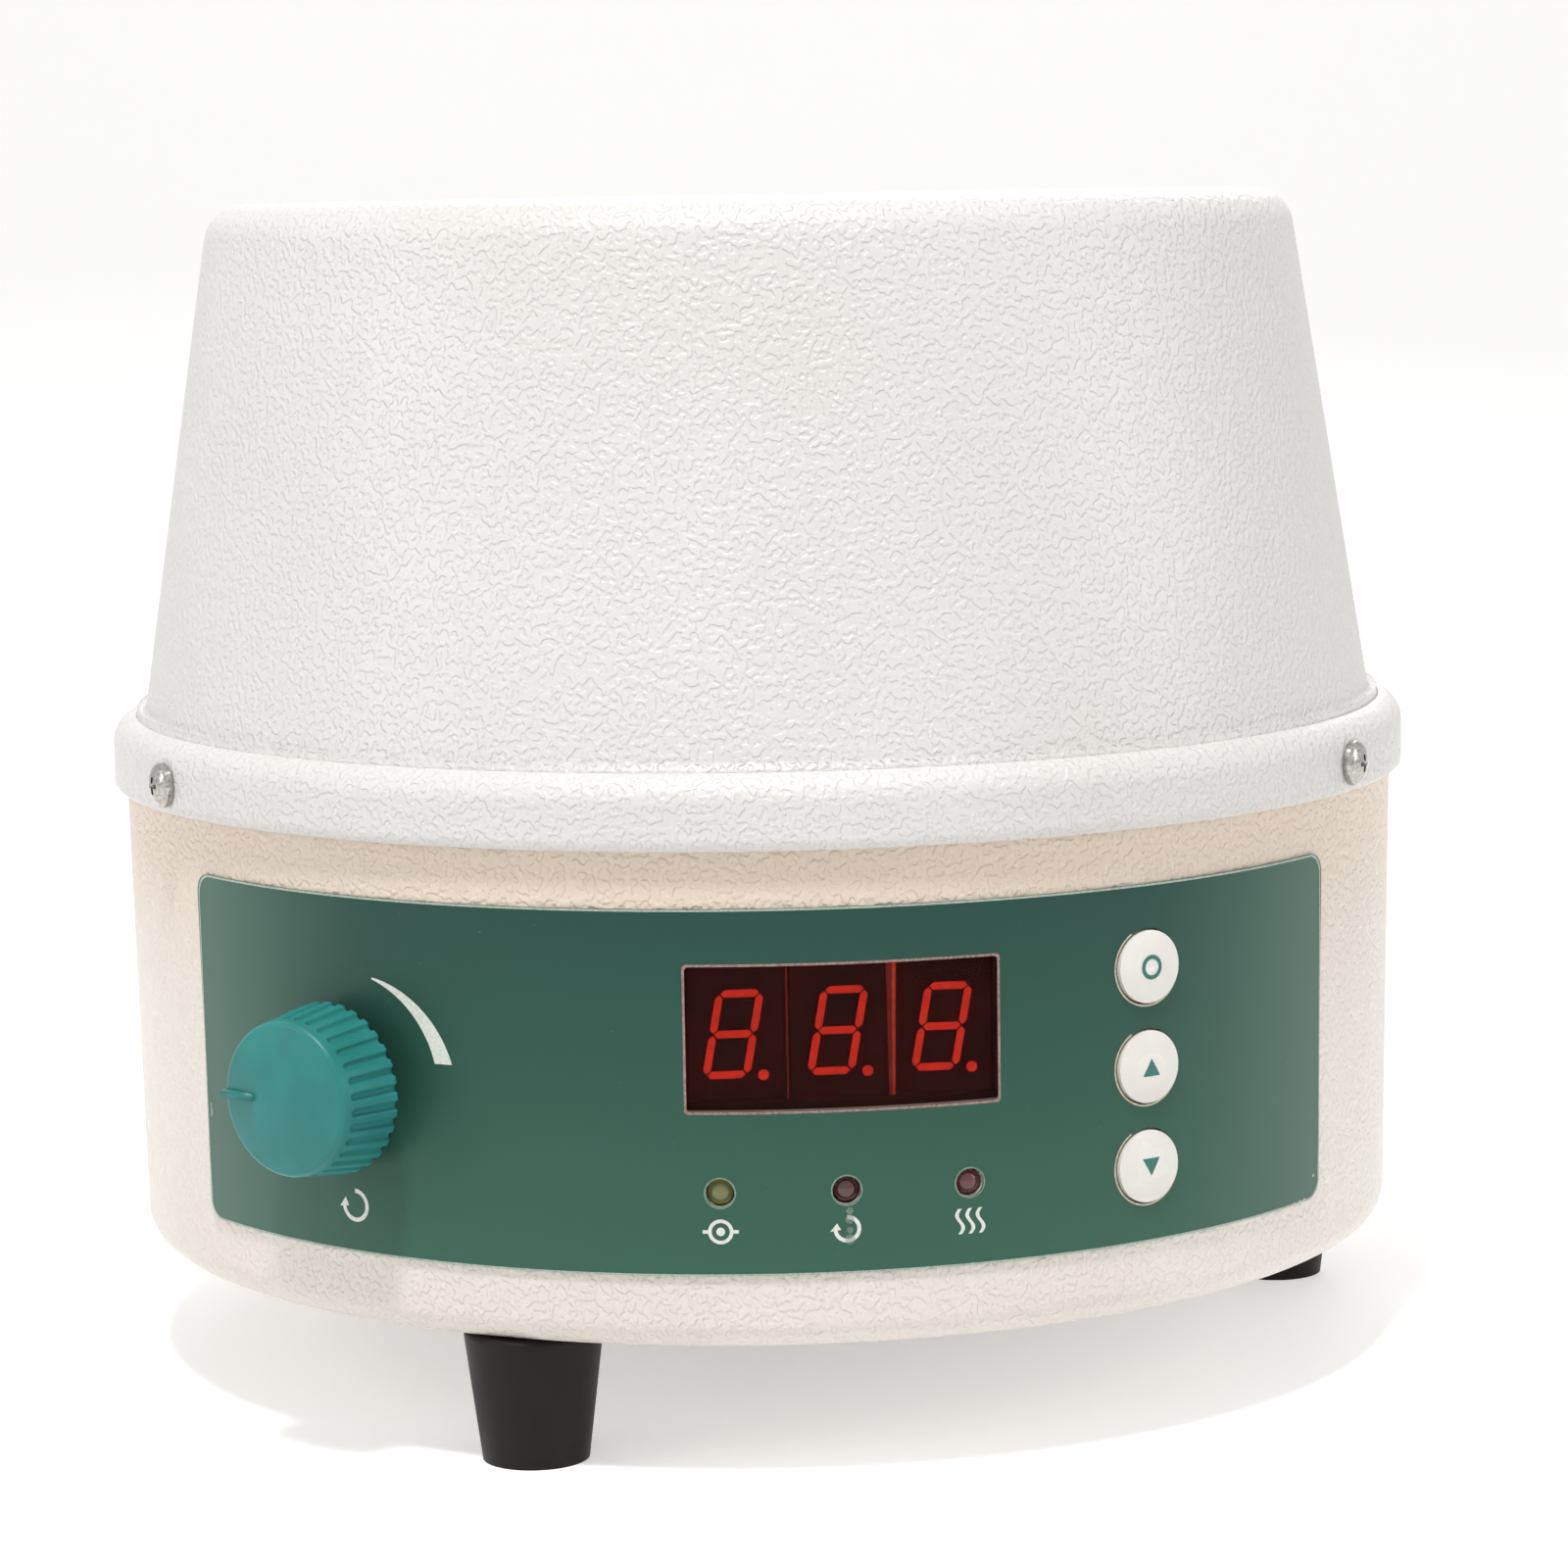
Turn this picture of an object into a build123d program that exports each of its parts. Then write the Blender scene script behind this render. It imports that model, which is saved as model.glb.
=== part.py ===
from build123d import *
from math import atan2, cos, hypot, radians, sin, sqrt
import os

# Laboratory heating mantle with a built-in magnetic stirrer.
# All sizes are in millimetres. The origin lies on the casing's axis at the level of the
# surface it stands on. +Z is up and the control panel faces -Y.
# An azimuth is counted from the front (-Y), positive towards +X.

# --- casing ---
foot_height = 19.0
sheet = 1.2                   # wall of both casings
base_radius = 97.0            # lower casing at its bottom
seam_radius = 98.1            # lower casing at the seam
seam_height = 70.1            # from the casing's bottom to the flange's lower edge
base_corner = 4.0
lip_room = 0.2                # from the seam radius to the flange's inner corner, at the casing's lip
flange_radius = 100.0
flange_height = 10.4          # from the seam to the top of the rounded shoulder
shoulder_corner = 4.0
cone_foot_radius = 94.8
cone_foot_corner = 1.2
shell_height = 157.9          # from the casing's bottom to the rim
rim_radius = 82.8
rim_corner = 6.0
mouth_gap = 1.0               # between the bowl and the rolled mouth
mouth_corner = 3.0
mouth_lip = 7.0

# --- fasteners and fits ---
bolt_gap = 0.2                # round a screw in a plain hole
thread_gap = 0.05             # round a screw in a threaded hole
fit_gap = 0.3                 # between loose neighbours
running_gap = 0.05            # round a turning shaft
m3 = 1.5
m4 = 2.0
m3_head = (2.75, 2.0)         # radius, height
flange_head = (3.3, 2.2)
m4_head = (3.6, 2.6)
m3_nut = (5.5, 2.4)           # across flats, thickness
m4_nut = (7.0, 3.2)

# --- feet ---
foot_azimuths = {"foot_front": -22.7, "foot_right": 105.8, "foot_rear": -138.7}
foot_circle = 86.5
foot_top_radius = 10.0
foot_tip_radius = 7.6
foot_recess = (4.4, 8.0)      # radius, depth
foot_edge = 0.8

# --- flange screws ---
flange_screw_azimuths = (-60.0, 60.0, 180.0)
flange_screw_rise = 4.2       # above the seam
flange_screw_length = 9.0

# --- control panel ---
film = 0.4
label_span = (-56.4, 56.0)    # azimuths of its ends
label_band = (10.8, 62.0)     # heights above the casing's bottom
label_corner = 3.0
window_azimuth = 6.45
window_height = 43.95
window_size = (43.7, 20.3)
window_corner = 0.4
lens_flange = (3.0, 0.8)      # width round the opening, thickness
lens_gap = 0.06
module_size = (14.0, 19.0, 8.0)
module_pitch = 14.5
lamp_azimuths = {"set_lamp": -3.76, "stir_lamp": 6.47, "heat_lamp": 16.70}
lamp_height = 22.5
lamp_hole = 2.0
lamp_radius = 1.85
lamp_length = 6.0
lamp_leg = (0.3, 1.27)        # radius, half spacing
button_azimuth = 33.25
button_heights = {"select_button": 50.3, "raise_button": 36.05, "lower_button": 21.8}
button_radius = 5.15
button_gap = 0.3
button_proud = 1.0
button_crown = 0.55           # rise of the dome
button_flange = (6.5, 1.0)    # radius, thickness
button_travel = 0.6
stem_radius = 1.7
switch_size = (6.0, 6.0, 3.5)

# --- speed control ---
knob_azimuth = -36.5
knob_height = 35.2
knob_base_radius = 12.3
knob_face_radius = 10.9
knob_lift = 3.9               # from the label to the skirt
knob_depth = 10.0
knob_dome = 1.4
knob_edge = 0.7                # rounding between the skirt and the face
knob_hub_wall = 1.9
knob_skirt_thinning = 0.6      # of the skirt wall towards its foot
knob_wall = 1.7
knob_grooves = 32
groove_radius = 0.62
groove_stop = 1.9             # land left between the grooves and the face
pointer_size = (5.9, 1.3, 0.7)
shaft_radius = 3.0
bushing_radius = 3.5
pot_size = (8.5, 10.0)        # radius, depth
washer_size = (5.4, 0.5)
pot_nut_size = (10.0, 2.0)

# --- heated bowl ---
flask_radius = 52.5           # a 500 ml round-bottomed flask
flask_gap = 1.0
bowl_wall = 4.5
bowl_sink = 4.9               # bowl's centre below the rim
bowl_rim_sink = 1.4           # bowl's edge below the rim
heater_wire = 1.0
heater_turns = 8
heater_space = 2.5
pan_wall = 1.0
insulation_floor = 3.9
insulation_side = 5.2
pan_flange = 10.0
pan_stud_length = 8.0
probe_radius = 1.5
probe_circle = 41.9
probe_collar = (3.5, 5.0)

# --- stirrer drive ---
bracket_sheet = 1.5
bracket_bend = 2.0
bracket_half = (45.0, 20.0)
bracket_foot = 12.0
bracket_hole = 8.0            # foot's holes behind the upright
bridge_height = 65.0          # above the casing's bottom
motor_radius = 18.0
motor_length = 42.0
motor_wall = 1.2
motor_boss = (6.0, 3.0)
motor_shaft_radius = 2.0
bearing_radius = 4.0
bearing_length = 5.0
motor_screw_circle = 12.5
carrier_radius = 25.0
carrier_depth = 8.0
carrier_hub = (7.0, 4.0)
magnet_radius = 7.5
magnet_height = 8.0
magnet_circle = 15.0
magnet_pocket = 4.0
magnet_air_gap = 2.3          # below the bowl's pan
shield_sheet = 0.8
shield_rim = 4.0

# --- boards ---
board_sheet = 1.6
spacer_radius = 2.75
display_board_size = (54.0, 48.0)
display_board_height = 38.0   # of its middle, above the casing's bottom
display_spacer = 5.0
display_spot_half = (24.0, 21.0)
display_foot_spots = (-14.0, 14.0)
display_foot_width = 40.0
button_board_size = (16.0, 50.0)
button_board_height = 37.5
button_spacer = 4.5
button_spot_half = 22.0
button_foot_spots = (0.0,)
button_foot_width = 14.0
main_board_size = (80.0, 34.0)
main_board_centre = (-8.0, 44.0)
main_spacer = 6.0
main_spot_half = (36.0, 13.0)
transformer_centre = (-24.0, -42.0)

# --- rear panel ---
pocket_face = 91.5            # its flat, from the axis
pocket_half_width = 31.0
pocket_band = (10.0, 56.0)    # above the casing's bottom
inlet_height = 23.0
inlet_flange = (50.0, 22.5, 2.5)
inlet_body = (27.4, 20.0, 20.0)
inlet_cavity = (24.4, 16.8, 17.0)
inlet_pin = (2.0, 4.0)
inlet_pin_recess = 5.0
inlet_screw_half = 20.0
control_row_height = 46.0
switch_offset = -14.0
switch_bezel = (21.0, 15.0, 2.0)
switch_body_size = (18.8, 12.8, 16.0)
rocker_radius = 7.3
rocker_gap = 0.4
rocker_width = 9.4
rocker_tilt = 10.0
rocker_pin = 1.0
fuse_offset = 17.0
fuse_body = (6.0, 28.5)       # radius, depth behind the pocket's face
fuse_flange = (7.5, 2.0)
fuse_bore = 3.6
fuse_size = (2.6, 20.0)
fuse_cap_size = (5.8, 3.8)
fuse_plug_length = 5.5

# --- levels and radii that follow ---
base_z = foot_height
floor_z = base_z + sheet
seam_z = base_z + seam_height
shoulder_z = seam_z + flange_height
corner_side = seam_radius + lip_room - flange_radius + shoulder_corner
corner_rise = sqrt(max((shoulder_corner - sheet) ** 2 - corner_side**2, 0))
lip_z = shoulder_z - shoulder_corner + corner_rise
top_z = base_z + shell_height
window_z = base_z + window_height
lamp_z = base_z + lamp_height
knob_z = base_z + knob_height
flange_screw_z = seam_z + flange_screw_rise
bridge_z = base_z + bridge_height
rim_underside = top_z - sheet
bowl_radius = flask_radius + flask_gap
bowl_outside = bowl_radius + bowl_wall
mouth_radius = bowl_outside + mouth_gap
wool_inside = bowl_outside + heater_space
pan_inside = wool_inside + insulation_side + fit_gap
pan_outside = pan_inside + pan_wall
pan_stud_spots = PolarLocations(pan_outside + pan_flange / 2, 3, start_angle=30)

os.makedirs("parts", exist_ok=True)


def casing_radius(z):
    """Outer radius of the lower casing at a height."""
    return base_radius + (seam_radius - base_radius) * (z - base_z) / seam_height


def facing(azimuth):
    """Plane through the axis: x to the right, y up, z outwards at an azimuth."""
    turn = radians(azimuth)
    return Plane(origin=(0, 0, 0), x_dir=(cos(turn), sin(turn), 0), z_dir=(sin(turn), -cos(turn), 0))


def outward(azimuth, height, reach, across=0.0):
    """Plane that faces outwards, with its origin at a height and a reach from the axis."""
    plane = facing(azimuth)
    return Plane(plane.from_local_coords((across, height, reach)), x_dir=plane.x_dir, z_dir=plane.z_dir)


def turning_section(plane):
    """Plane that holds a turned piece's half section: x across, y along the plane's normal."""
    return Plane(plane.origin, x_dir=plane.x_dir, z_dir=-plane.y_dir)


def turning_axis(plane):
    return Axis(plane.origin, plane.z_dir)


def dome_middle(radius, edge, rise):
    """Point halfway out on the sphere that passes through a dome's edge and its crown."""
    sphere = (radius**2 + rise**2) / (2 * rise)
    return (radius / 2, edge + rise - sphere + sqrt(sphere**2 - radius**2 / 4))


def flat_front(radius, half_width):
    """How far a flat piece can stand out inside a round wall."""
    return sqrt(radius**2 - half_width**2)


def export(piece, name):
    piece.part.label = name
    export_step(piece.part, f"parts/{name}.step")


def pan_head_screw(thread, length, head):
    """Cross-recessed screw along +Z, with the underside of its head at the origin."""
    head_radius, head_height = head
    with BuildPart() as screw:
        with BuildSketch(Plane.XZ):
            with BuildLine():
                Polyline((head_radius * 0.3, head_height), (0, head_height), (0, -length),
                         (thread, -length), (thread, 0), (head_radius, 0), (head_radius, head_height * 0.35))
                ThreePointArc((head_radius, head_height * 0.35),
                              (head_radius * 0.8, head_height * 0.8), (head_radius * 0.3, head_height))
            make_face()
        revolve(axis=Axis.Z)
        with BuildSketch(Plane.XY.offset(head_height)):
            Rectangle(head_radius * 1.1, head_radius * 0.24)
            Rectangle(head_radius * 0.24, head_radius * 1.1)
        extrude(amount=-head_height * 0.6, mode=Mode.SUBTRACT)
    return screw.part


def hex_nut(thread, size):
    """Nut on the origin's plane, along +Z."""
    across_flats, thickness = size
    with BuildPart() as nut:
        with BuildSketch():
            RegularPolygon(across_flats / 2, 6, major_radius=False)
            Circle(thread + thread_gap, mode=Mode.SUBTRACT)
        extrude(amount=thickness)
    return nut.part


def spacer_tube(length):
    """Round spacer for an M3 screw, along +Z from the origin."""
    with BuildPart() as spacer:
        with BuildSketch():
            Circle(spacer_radius)
            Circle(m3 + thread_gap, mode=Mode.SUBTRACT)
        extrude(amount=length)
    return spacer.part


def copies(piece, planes):
    """One node of identical pieces, one on each plane."""
    with BuildPart() as group:
        with Locations(*[Location(plane) for plane in planes]):
            add(piece)
    return group


# --- lower casing: a pressed pan with a flat panel let into its back ---
pocket_low = base_z + pocket_band[0]
pocket_high = base_z + pocket_band[1]
pocket_middle = (pocket_low + pocket_high) / 2
inlet_z = base_z + inlet_height
control_row_z = base_z + control_row_height


def casing_body(inset):
    """The pan's solid form, drawn in by an inset all round, its back panel flat."""
    with BuildPart() as body:
        with BuildSketch(Plane.XZ) as half:
            with BuildLine():
                Polyline((0, base_z + inset), (casing_radius(base_z + inset) - inset, base_z + inset),
                         (casing_radius(lip_z) - inset, lip_z), (0, lip_z), close=True)
            make_face()
            corner = half.vertices().group_by(Axis.Y)[0].sort_by(Axis.X)[-1]
            fillet(corner, base_corner - inset)
        revolve(axis=Axis.Z)
        with BuildSketch(Plane.XZ.offset(-(pocket_face - inset))):
            with Locations((0, pocket_middle)):
                Rectangle(2 * (pocket_half_width + inset), pocket_high - pocket_low + 2 * inset)
        extrude(amount=-2 * base_corner - base_radius, mode=Mode.SUBTRACT)
    return body.part


foot_planes = {}
for foot_name, azimuth in foot_azimuths.items():
    foot_planes[foot_name] = Plane(outward(azimuth, 0, foot_circle).origin)

flange_screw_planes = [outward(azimuth, flange_screw_z, flange_radius) for azimuth in flange_screw_azimuths]
window_plane = outward(window_azimuth, window_z, 0)
knob_face_plane = outward(knob_azimuth, knob_z, 0)
lamp_planes = {name: outward(azimuth, lamp_z, 0) for name, azimuth in lamp_azimuths.items()}
button_planes = {name: outward(button_azimuth, base_z + height, 0)
                 for name, height in button_heights.items()}

# brackets that stand on the floor, and the screws that hold them from below
bracket_foot_middle = bracket_half[0] + bracket_foot / 2
motor_foot_half = 12.0
display_axis = facing(window_azimuth)
button_axis = facing(button_azimuth)
lens_back = casing_radius(window_z) - sheet - lens_flange[1]
module_block_half = module_pitch + module_size[0] / 2
module_front = flat_front(lens_back - fit_gap, module_block_half) - fit_gap
display_board_front = module_front - module_size[2]
display_bracket_front = display_board_front - board_sheet - display_spacer
button_flange_front = flat_front(casing_radius(base_z + button_heights["lower_button"]) - sheet,
                                 button_flange[0]) - fit_gap
switch_front = button_flange_front - button_flange[1] - 2 * button_travel
button_board_front = switch_front - switch_size[2]
button_bracket_front = button_board_front - board_sheet - button_spacer

floor_screw_points = [(side * bracket_foot_middle, motor_foot_half * end)
                      for side in (-1, 1) for end in (-1, 1)]
for axis_plane, front, spots in ((display_axis, display_bracket_front, display_foot_spots),
                                 (button_axis, button_bracket_front, button_foot_spots)):
    for across in spots:
        point = axis_plane.from_local_coords((across, 0, front - bracket_hole))
        floor_screw_points.append((point.X, point.Y))
main_board_posts = [(main_board_centre[0] + side * main_spot_half[0],
                     main_board_centre[1] + end * main_spot_half[1])
                    for side in (-1, 1) for end in (-1, 1)]
floor_screw_points += main_board_posts

vent_circle = 31.0
vent_count = 6
vent_slot = (20.0, 3.0)
cavity = casing_body(sheet)
with BuildPart() as lower_casing:
    add(casing_body(0))
    add(cavity, mode=Mode.SUBTRACT)
    # window, lamps, buttons and the speed control's bushing
    with BuildSketch(window_plane):
        RectangleRounded(*window_size, window_corner)
    extrude(amount=flange_radius, mode=Mode.SUBTRACT)
    for plane in lamp_planes.values():
        with BuildSketch(plane):
            Circle(lamp_hole)
        extrude(amount=flange_radius, mode=Mode.SUBTRACT)
    for plane in button_planes.values():
        with BuildSketch(plane):
            Circle(button_radius + button_gap)
        extrude(amount=flange_radius, mode=Mode.SUBTRACT)
    with BuildSketch(knob_face_plane):
        Circle(bushing_radius + bolt_gap)
    extrude(amount=flange_radius, mode=Mode.SUBTRACT)
    for azimuth in flange_screw_azimuths:
        with BuildSketch(outward(azimuth, flange_screw_z, 0)):
            Circle(m3 + bolt_gap)
        extrude(amount=flange_radius, mode=Mode.SUBTRACT)
    # back panel
    with BuildSketch(Plane.XZ):
        with Locations((0, inlet_z)):
            Rectangle(inlet_body[0] + fit_gap, inlet_body[1] + fit_gap)
        with Locations((-inlet_screw_half, inlet_z), (inlet_screw_half, inlet_z)):
            Circle(m3 + bolt_gap)
        with Locations((switch_offset, control_row_z)):
            Rectangle(switch_body_size[0] + fit_gap, switch_body_size[1] + fit_gap)
        with Locations((fuse_offset, control_row_z)):
            Circle(fuse_body[0] + bolt_gap)
    extrude(amount=-flange_radius, mode=Mode.SUBTRACT)
    # floor: foot screws, bracket screws and a ring of vents
    with BuildSketch(Plane.XY):
        with Locations(*[(plane.origin.X, plane.origin.Y) for plane in foot_planes.values()]):
            Circle(m4 + bolt_gap)
        with Locations(*floor_screw_points):
            Circle(m3 + bolt_gap)
        with PolarLocations(vent_circle, vent_count, start_angle=30):
            SlotOverall(*vent_slot)
    extrude(amount=floor_z + sheet, mode=Mode.SUBTRACT)
export(lower_casing, "lower_casing")

# --- upper shell: flange, cone, rim and the mouth's turned-down lip in one spun sheet ---
with BuildPart() as upper_shell:
    with BuildSketch(Plane.XZ):
        with BuildLine():
            FilletPolyline((flange_radius, seam_z), (flange_radius, shoulder_z),
                           (cone_foot_radius, shoulder_z), (rim_radius, top_z),
                           (mouth_radius, top_z), (mouth_radius, top_z - mouth_lip),
                           radius=[shoulder_corner, cone_foot_corner, rim_corner, mouth_corner])
            offset(amount=sheet, side=Side.LEFT)
        make_face()
    revolve(axis=Axis.Z)
    for plane in flange_screw_planes:
        with BuildSketch(plane.offset(-3 * sheet)):
            Circle(m3 + bolt_gap)
        extrude(amount=4 * sheet, mode=Mode.SUBTRACT)
    # studs welded under the rim, from which the bowl's pan hangs
    with BuildSketch(Plane.XY.offset(rim_underside + sheet / 4)):
        with pan_stud_spots:
            Circle(m3)
    extrude(amount=-pan_stud_length - sheet / 4)
export(upper_shell, "upper_shell")

flange_screws = copies(pan_head_screw(m3, flange_screw_length, flange_head), flange_screw_planes)
export(flange_screws, "flange_screws")

# --- feet: moulded rubber, each held by a screw up through its recess ---
for foot_name, plane in foot_planes.items():
    with BuildPart() as foot:
        with BuildSketch(turning_section(plane)) as half:
            with BuildLine():
                Polyline((m4 + bolt_gap, foot_recess[1]), (foot_recess[0], foot_recess[1]),
                         (foot_recess[0], 0), (foot_tip_radius, 0), (foot_top_radius, foot_height),
                         (m4 + bolt_gap, foot_height), close=True)
            make_face()
            fillet(half.vertices().group_by(Axis.Z)[0].sort_by_distance(plane.origin)[-1], foot_edge)
        revolve(axis=turning_axis(plane))
    export(foot, foot_name)

foot_screw_length = floor_z - foot_recess[1] + m4_nut[1] + 1
foot_screw_planes = [Plane(plane.origin + Vector(0, 0, foot_recess[1]), x_dir=(1, 0, 0), z_dir=(0, 0, -1))
                     for plane in foot_planes.values()]
foot_screws = copies(pan_head_screw(m4, foot_screw_length, m4_head), foot_screw_planes)
export(foot_screws, "foot_screws")

foot_nuts = copies(hex_nut(m4, m4_nut),
                   [Plane(plane.origin + Vector(0, 0, floor_z)) for plane in foot_planes.values()])
export(foot_nuts, "foot_nuts")


# --- control panel: a printed film wrapped on the casing, and what shows through it ---
def casing_skin(inner, outer, low, high, span, start):
    """Band of the casing's cone between two offsets from its outside."""
    with BuildPart() as skin:
        with BuildSketch(facing(start + 90)) as half:
            with BuildLine():
                Polyline((casing_radius(low) + inner, low), (casing_radius(low) + outer, low),
                         (casing_radius(high) + outer, high), (casing_radius(high) + inner, high),
                         close=True)
            make_face()
        revolve(axis=Axis.Z, revolution_arc=span)
    return skin.part


label_low = base_z + label_band[0]
label_high = base_z + label_band[1]
with BuildPart() as control_label:
    add(casing_skin(0, film, label_low, label_high, label_span[1] - label_span[0], label_span[0] - 180))
    corners = control_label.edges().filter_by(lambda edge: edge.length < film * 1.1)
    fillet(corners, label_corner)
    with BuildSketch(window_plane):
        RectangleRounded(*window_size, window_corner)
    extrude(amount=flange_radius, mode=Mode.SUBTRACT)
    for plane in lamp_planes.values():
        with BuildSketch(plane):
            Circle(lamp_hole)
        extrude(amount=flange_radius, mode=Mode.SUBTRACT)
    for plane in button_planes.values():
        with BuildSketch(plane):
            Circle(button_radius + button_gap)
        extrude(amount=flange_radius, mode=Mode.SUBTRACT)
    with BuildSketch(knob_face_plane):
        Circle(bushing_radius + bolt_gap)
    extrude(amount=flange_radius, mode=Mode.SUBTRACT)
export(control_label, "control_label")


def window_block(margin):
    """Block through the casing wall with the window's outline, grown by a margin."""
    width, height = window_size
    with BuildPart() as block:
        with BuildSketch(window_plane.offset(lens_back / 2)):
            RectangleRounded(width + 2 * margin, height + 2 * margin, window_corner)
        extrude(amount=flange_radius)
    return block.part


lens_low = window_z - window_size[1]
lens_high = window_z + window_size[1]
lens_wrap = 60.0
lens_start = window_azimuth - lens_wrap / 2 - 180
with BuildPart() as lens_rim:
    add(casing_skin(-sheet - lens_flange[1], -sheet, lens_low, lens_high, lens_wrap, lens_start))
    add(window_block(lens_flange[0]), mode=Mode.INTERSECT)
with BuildPart() as display_window:
    add(casing_skin(-sheet, film, lens_low, lens_high, lens_wrap, lens_start))
    add(window_block(-lens_gap), mode=Mode.INTERSECT)
    add(lens_rim)
export(display_window, "display_window")

module_names = ("digit_module_left", "digit_module_middle", "digit_module_right")
for index, name in enumerate(module_names):
    with BuildPart() as module:
        with BuildSketch(window_plane.offset(display_board_front)):
            with Locations(((index - 1) * module_pitch, 0)):
                Rectangle(*module_size[:2])
        extrude(amount=module_size[2])
        chamfer(module.faces().sort_by(turning_axis(window_plane))[-1].edges(), 0.3)
    export(module, name)

for name, plane in lamp_planes.items():
    lamp_front = casing_radius(lamp_z) + film / 2
    turn = radians(lamp_azimuths[name] - window_azimuth)
    lamp_foot = (display_board_front + lamp_leg[1] * abs(sin(turn)) + thread_gap) / cos(turn)
    with BuildPart() as lamp:
        with BuildSketch(turning_section(plane)):
            with BuildLine():
                Polyline((0, lamp_front), (0, lamp_front - lamp_length),
                         (lamp_radius + fit_gap, lamp_front - lamp_length),
                         (lamp_radius + fit_gap, lamp_front - lamp_length + 1),
                         (lamp_radius, lamp_front - lamp_length + 1),
                         (lamp_radius, lamp_front - lamp_radius / 2))
                ThreePointArc((lamp_radius, lamp_front - lamp_radius / 2),
                              dome_middle(lamp_radius, lamp_front - lamp_radius / 2, lamp_radius / 2),
                              (0, lamp_front))
            make_face()
        revolve(axis=turning_axis(plane))
        with BuildSketch(plane.offset(lamp_foot)):
            with Locations((-lamp_leg[1], 0), (lamp_leg[1], 0)):
                Circle(lamp_leg[0])
        extrude(amount=lamp_front - lamp_length - lamp_foot)
    export(lamp, name)


# --- boards on upright brackets, each screwed to the floor ---
def board_plate(axis_plane, front, size, height, spots):
    """Circuit board across an azimuth, with holes for its screws."""
    with BuildPart() as board:
        with BuildSketch(axis_plane.offset(front)):
            with Locations((0, base_z + height)):
                RectangleRounded(*size, 1)
            with Locations(*spots):
                Circle(m3 + bolt_gap, mode=Mode.SUBTRACT)
        extrude(amount=-board_sheet)
    return board


def bracket_plate(axis_plane, front, width, top, spots, foot_width, floor_spots):
    """Bent sheet: an upright with threaded holes for the spacers, and a foot behind it."""
    with BuildPart() as bracket:
        with BuildSketch(axis_plane.offset(front)):
            with Locations((0, (floor_z + top) / 2)):
                Rectangle(width, top - floor_z)
            with Locations(*spots):
                Circle(m3 + thread_gap, mode=Mode.SUBTRACT)
        extrude(amount=-bracket_sheet)
        with BuildSketch(Plane((0, 0, floor_z), x_dir=axis_plane.x_dir, z_dir=(0, 0, 1))):
            with Locations((0, -(front - bracket_foot / 2))):
                Rectangle(foot_width, bracket_foot)
            with Locations(*[(across, -(front - bracket_hole)) for across in floor_spots]):
                Circle(m3 + thread_gap, mode=Mode.SUBTRACT)
        extrude(amount=bracket_sheet)
    return bracket


def spots_on(axis_plane, spots, reach):
    """Outward planes at spots given across and up, at a reach from the axis."""
    return [Plane(axis_plane.from_local_coords((x, y, reach)), x_dir=axis_plane.x_dir,
                  z_dir=axis_plane.z_dir) for x, y in spots]


display_spots = [(x, base_z + display_board_height + y)
                 for x in (-display_spot_half[0], display_spot_half[0])
                 for y in (-display_spot_half[1], display_spot_half[1])]
button_spots = [(0, base_z + button_board_height + y) for y in (-button_spot_half, button_spot_half)]
display_board = board_plate(display_axis, display_board_front, display_board_size,
                            display_board_height, display_spots)
export(display_board, "display_board")
button_board = board_plate(button_axis, button_board_front, button_board_size,
                           button_board_height, button_spots)
export(button_board, "button_board")
display_bracket = bracket_plate(display_axis, display_bracket_front, display_board_size[0],
                                base_z + display_board_height + display_board_size[1] / 2,
                                display_spots, display_foot_width, display_foot_spots)
export(display_bracket, "display_bracket")
button_bracket = bracket_plate(button_axis, button_bracket_front, button_board_size[0],
                               base_z + button_board_height + button_board_size[1] / 2,
                               button_spots, button_foot_width, button_foot_spots)
export(button_bracket, "button_bracket")

main_post_planes = [Plane((x, y, floor_z)) for x, y in main_board_posts]
with BuildPart() as board_spacers:
    add(copies(spacer_tube(display_spacer), spots_on(display_axis, display_spots, display_bracket_front)))
    add(copies(spacer_tube(button_spacer), spots_on(button_axis, button_spots, button_bracket_front)))
    add(copies(spacer_tube(main_spacer), main_post_planes))
export(board_spacers, "board_spacers")

upright_grip = board_sheet + bracket_sheet + 0.5
main_screw = board_sheet + main_spacer / 2 - 0.5
motor_screw_planes = [Plane((side * motor_screw_circle, 0, bridge_z)) for side in (-1, 1)]
with BuildPart() as inner_screws:
    add(copies(pan_head_screw(m3, display_spacer + upright_grip, m3_head),
               spots_on(display_axis, display_spots, display_board_front)))
    add(copies(pan_head_screw(m3, button_spacer + upright_grip, m3_head),
               spots_on(button_axis, button_spots, button_board_front)))
    add(copies(pan_head_screw(m3, main_screw, m3_head),
               [plane.offset(main_spacer + board_sheet) for plane in main_post_planes]))
    add(copies(pan_head_screw(m3, 2 * bracket_sheet + 1, m3_head), motor_screw_planes))
export(inner_screws, "inner_screws")

floor_screw_planes = [Plane((x, y, base_z), x_dir=(1, 0, 0), z_dir=(0, 0, -1))
                      for x, y in floor_screw_points]
floor_screws = copies(pan_head_screw(m3, sheet + main_spacer / 2 - 0.5, m3_head), floor_screw_planes)
export(floor_screws, "floor_screws")

# --- push buttons: domed cap, retaining flange and a stem that enters its switch ---
with BuildPart() as button_switches:
    for plane in button_planes.values():
        with BuildSketch(plane.offset(button_board_front)):
            Rectangle(*switch_size[:2])
        extrude(amount=switch_size[2])
        with BuildSketch(plane.offset(switch_front)):
            Circle(stem_radius + 2 * running_gap)
        extrude(amount=-3 * button_travel, mode=Mode.SUBTRACT)
export(button_switches, "button_switches")

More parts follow.
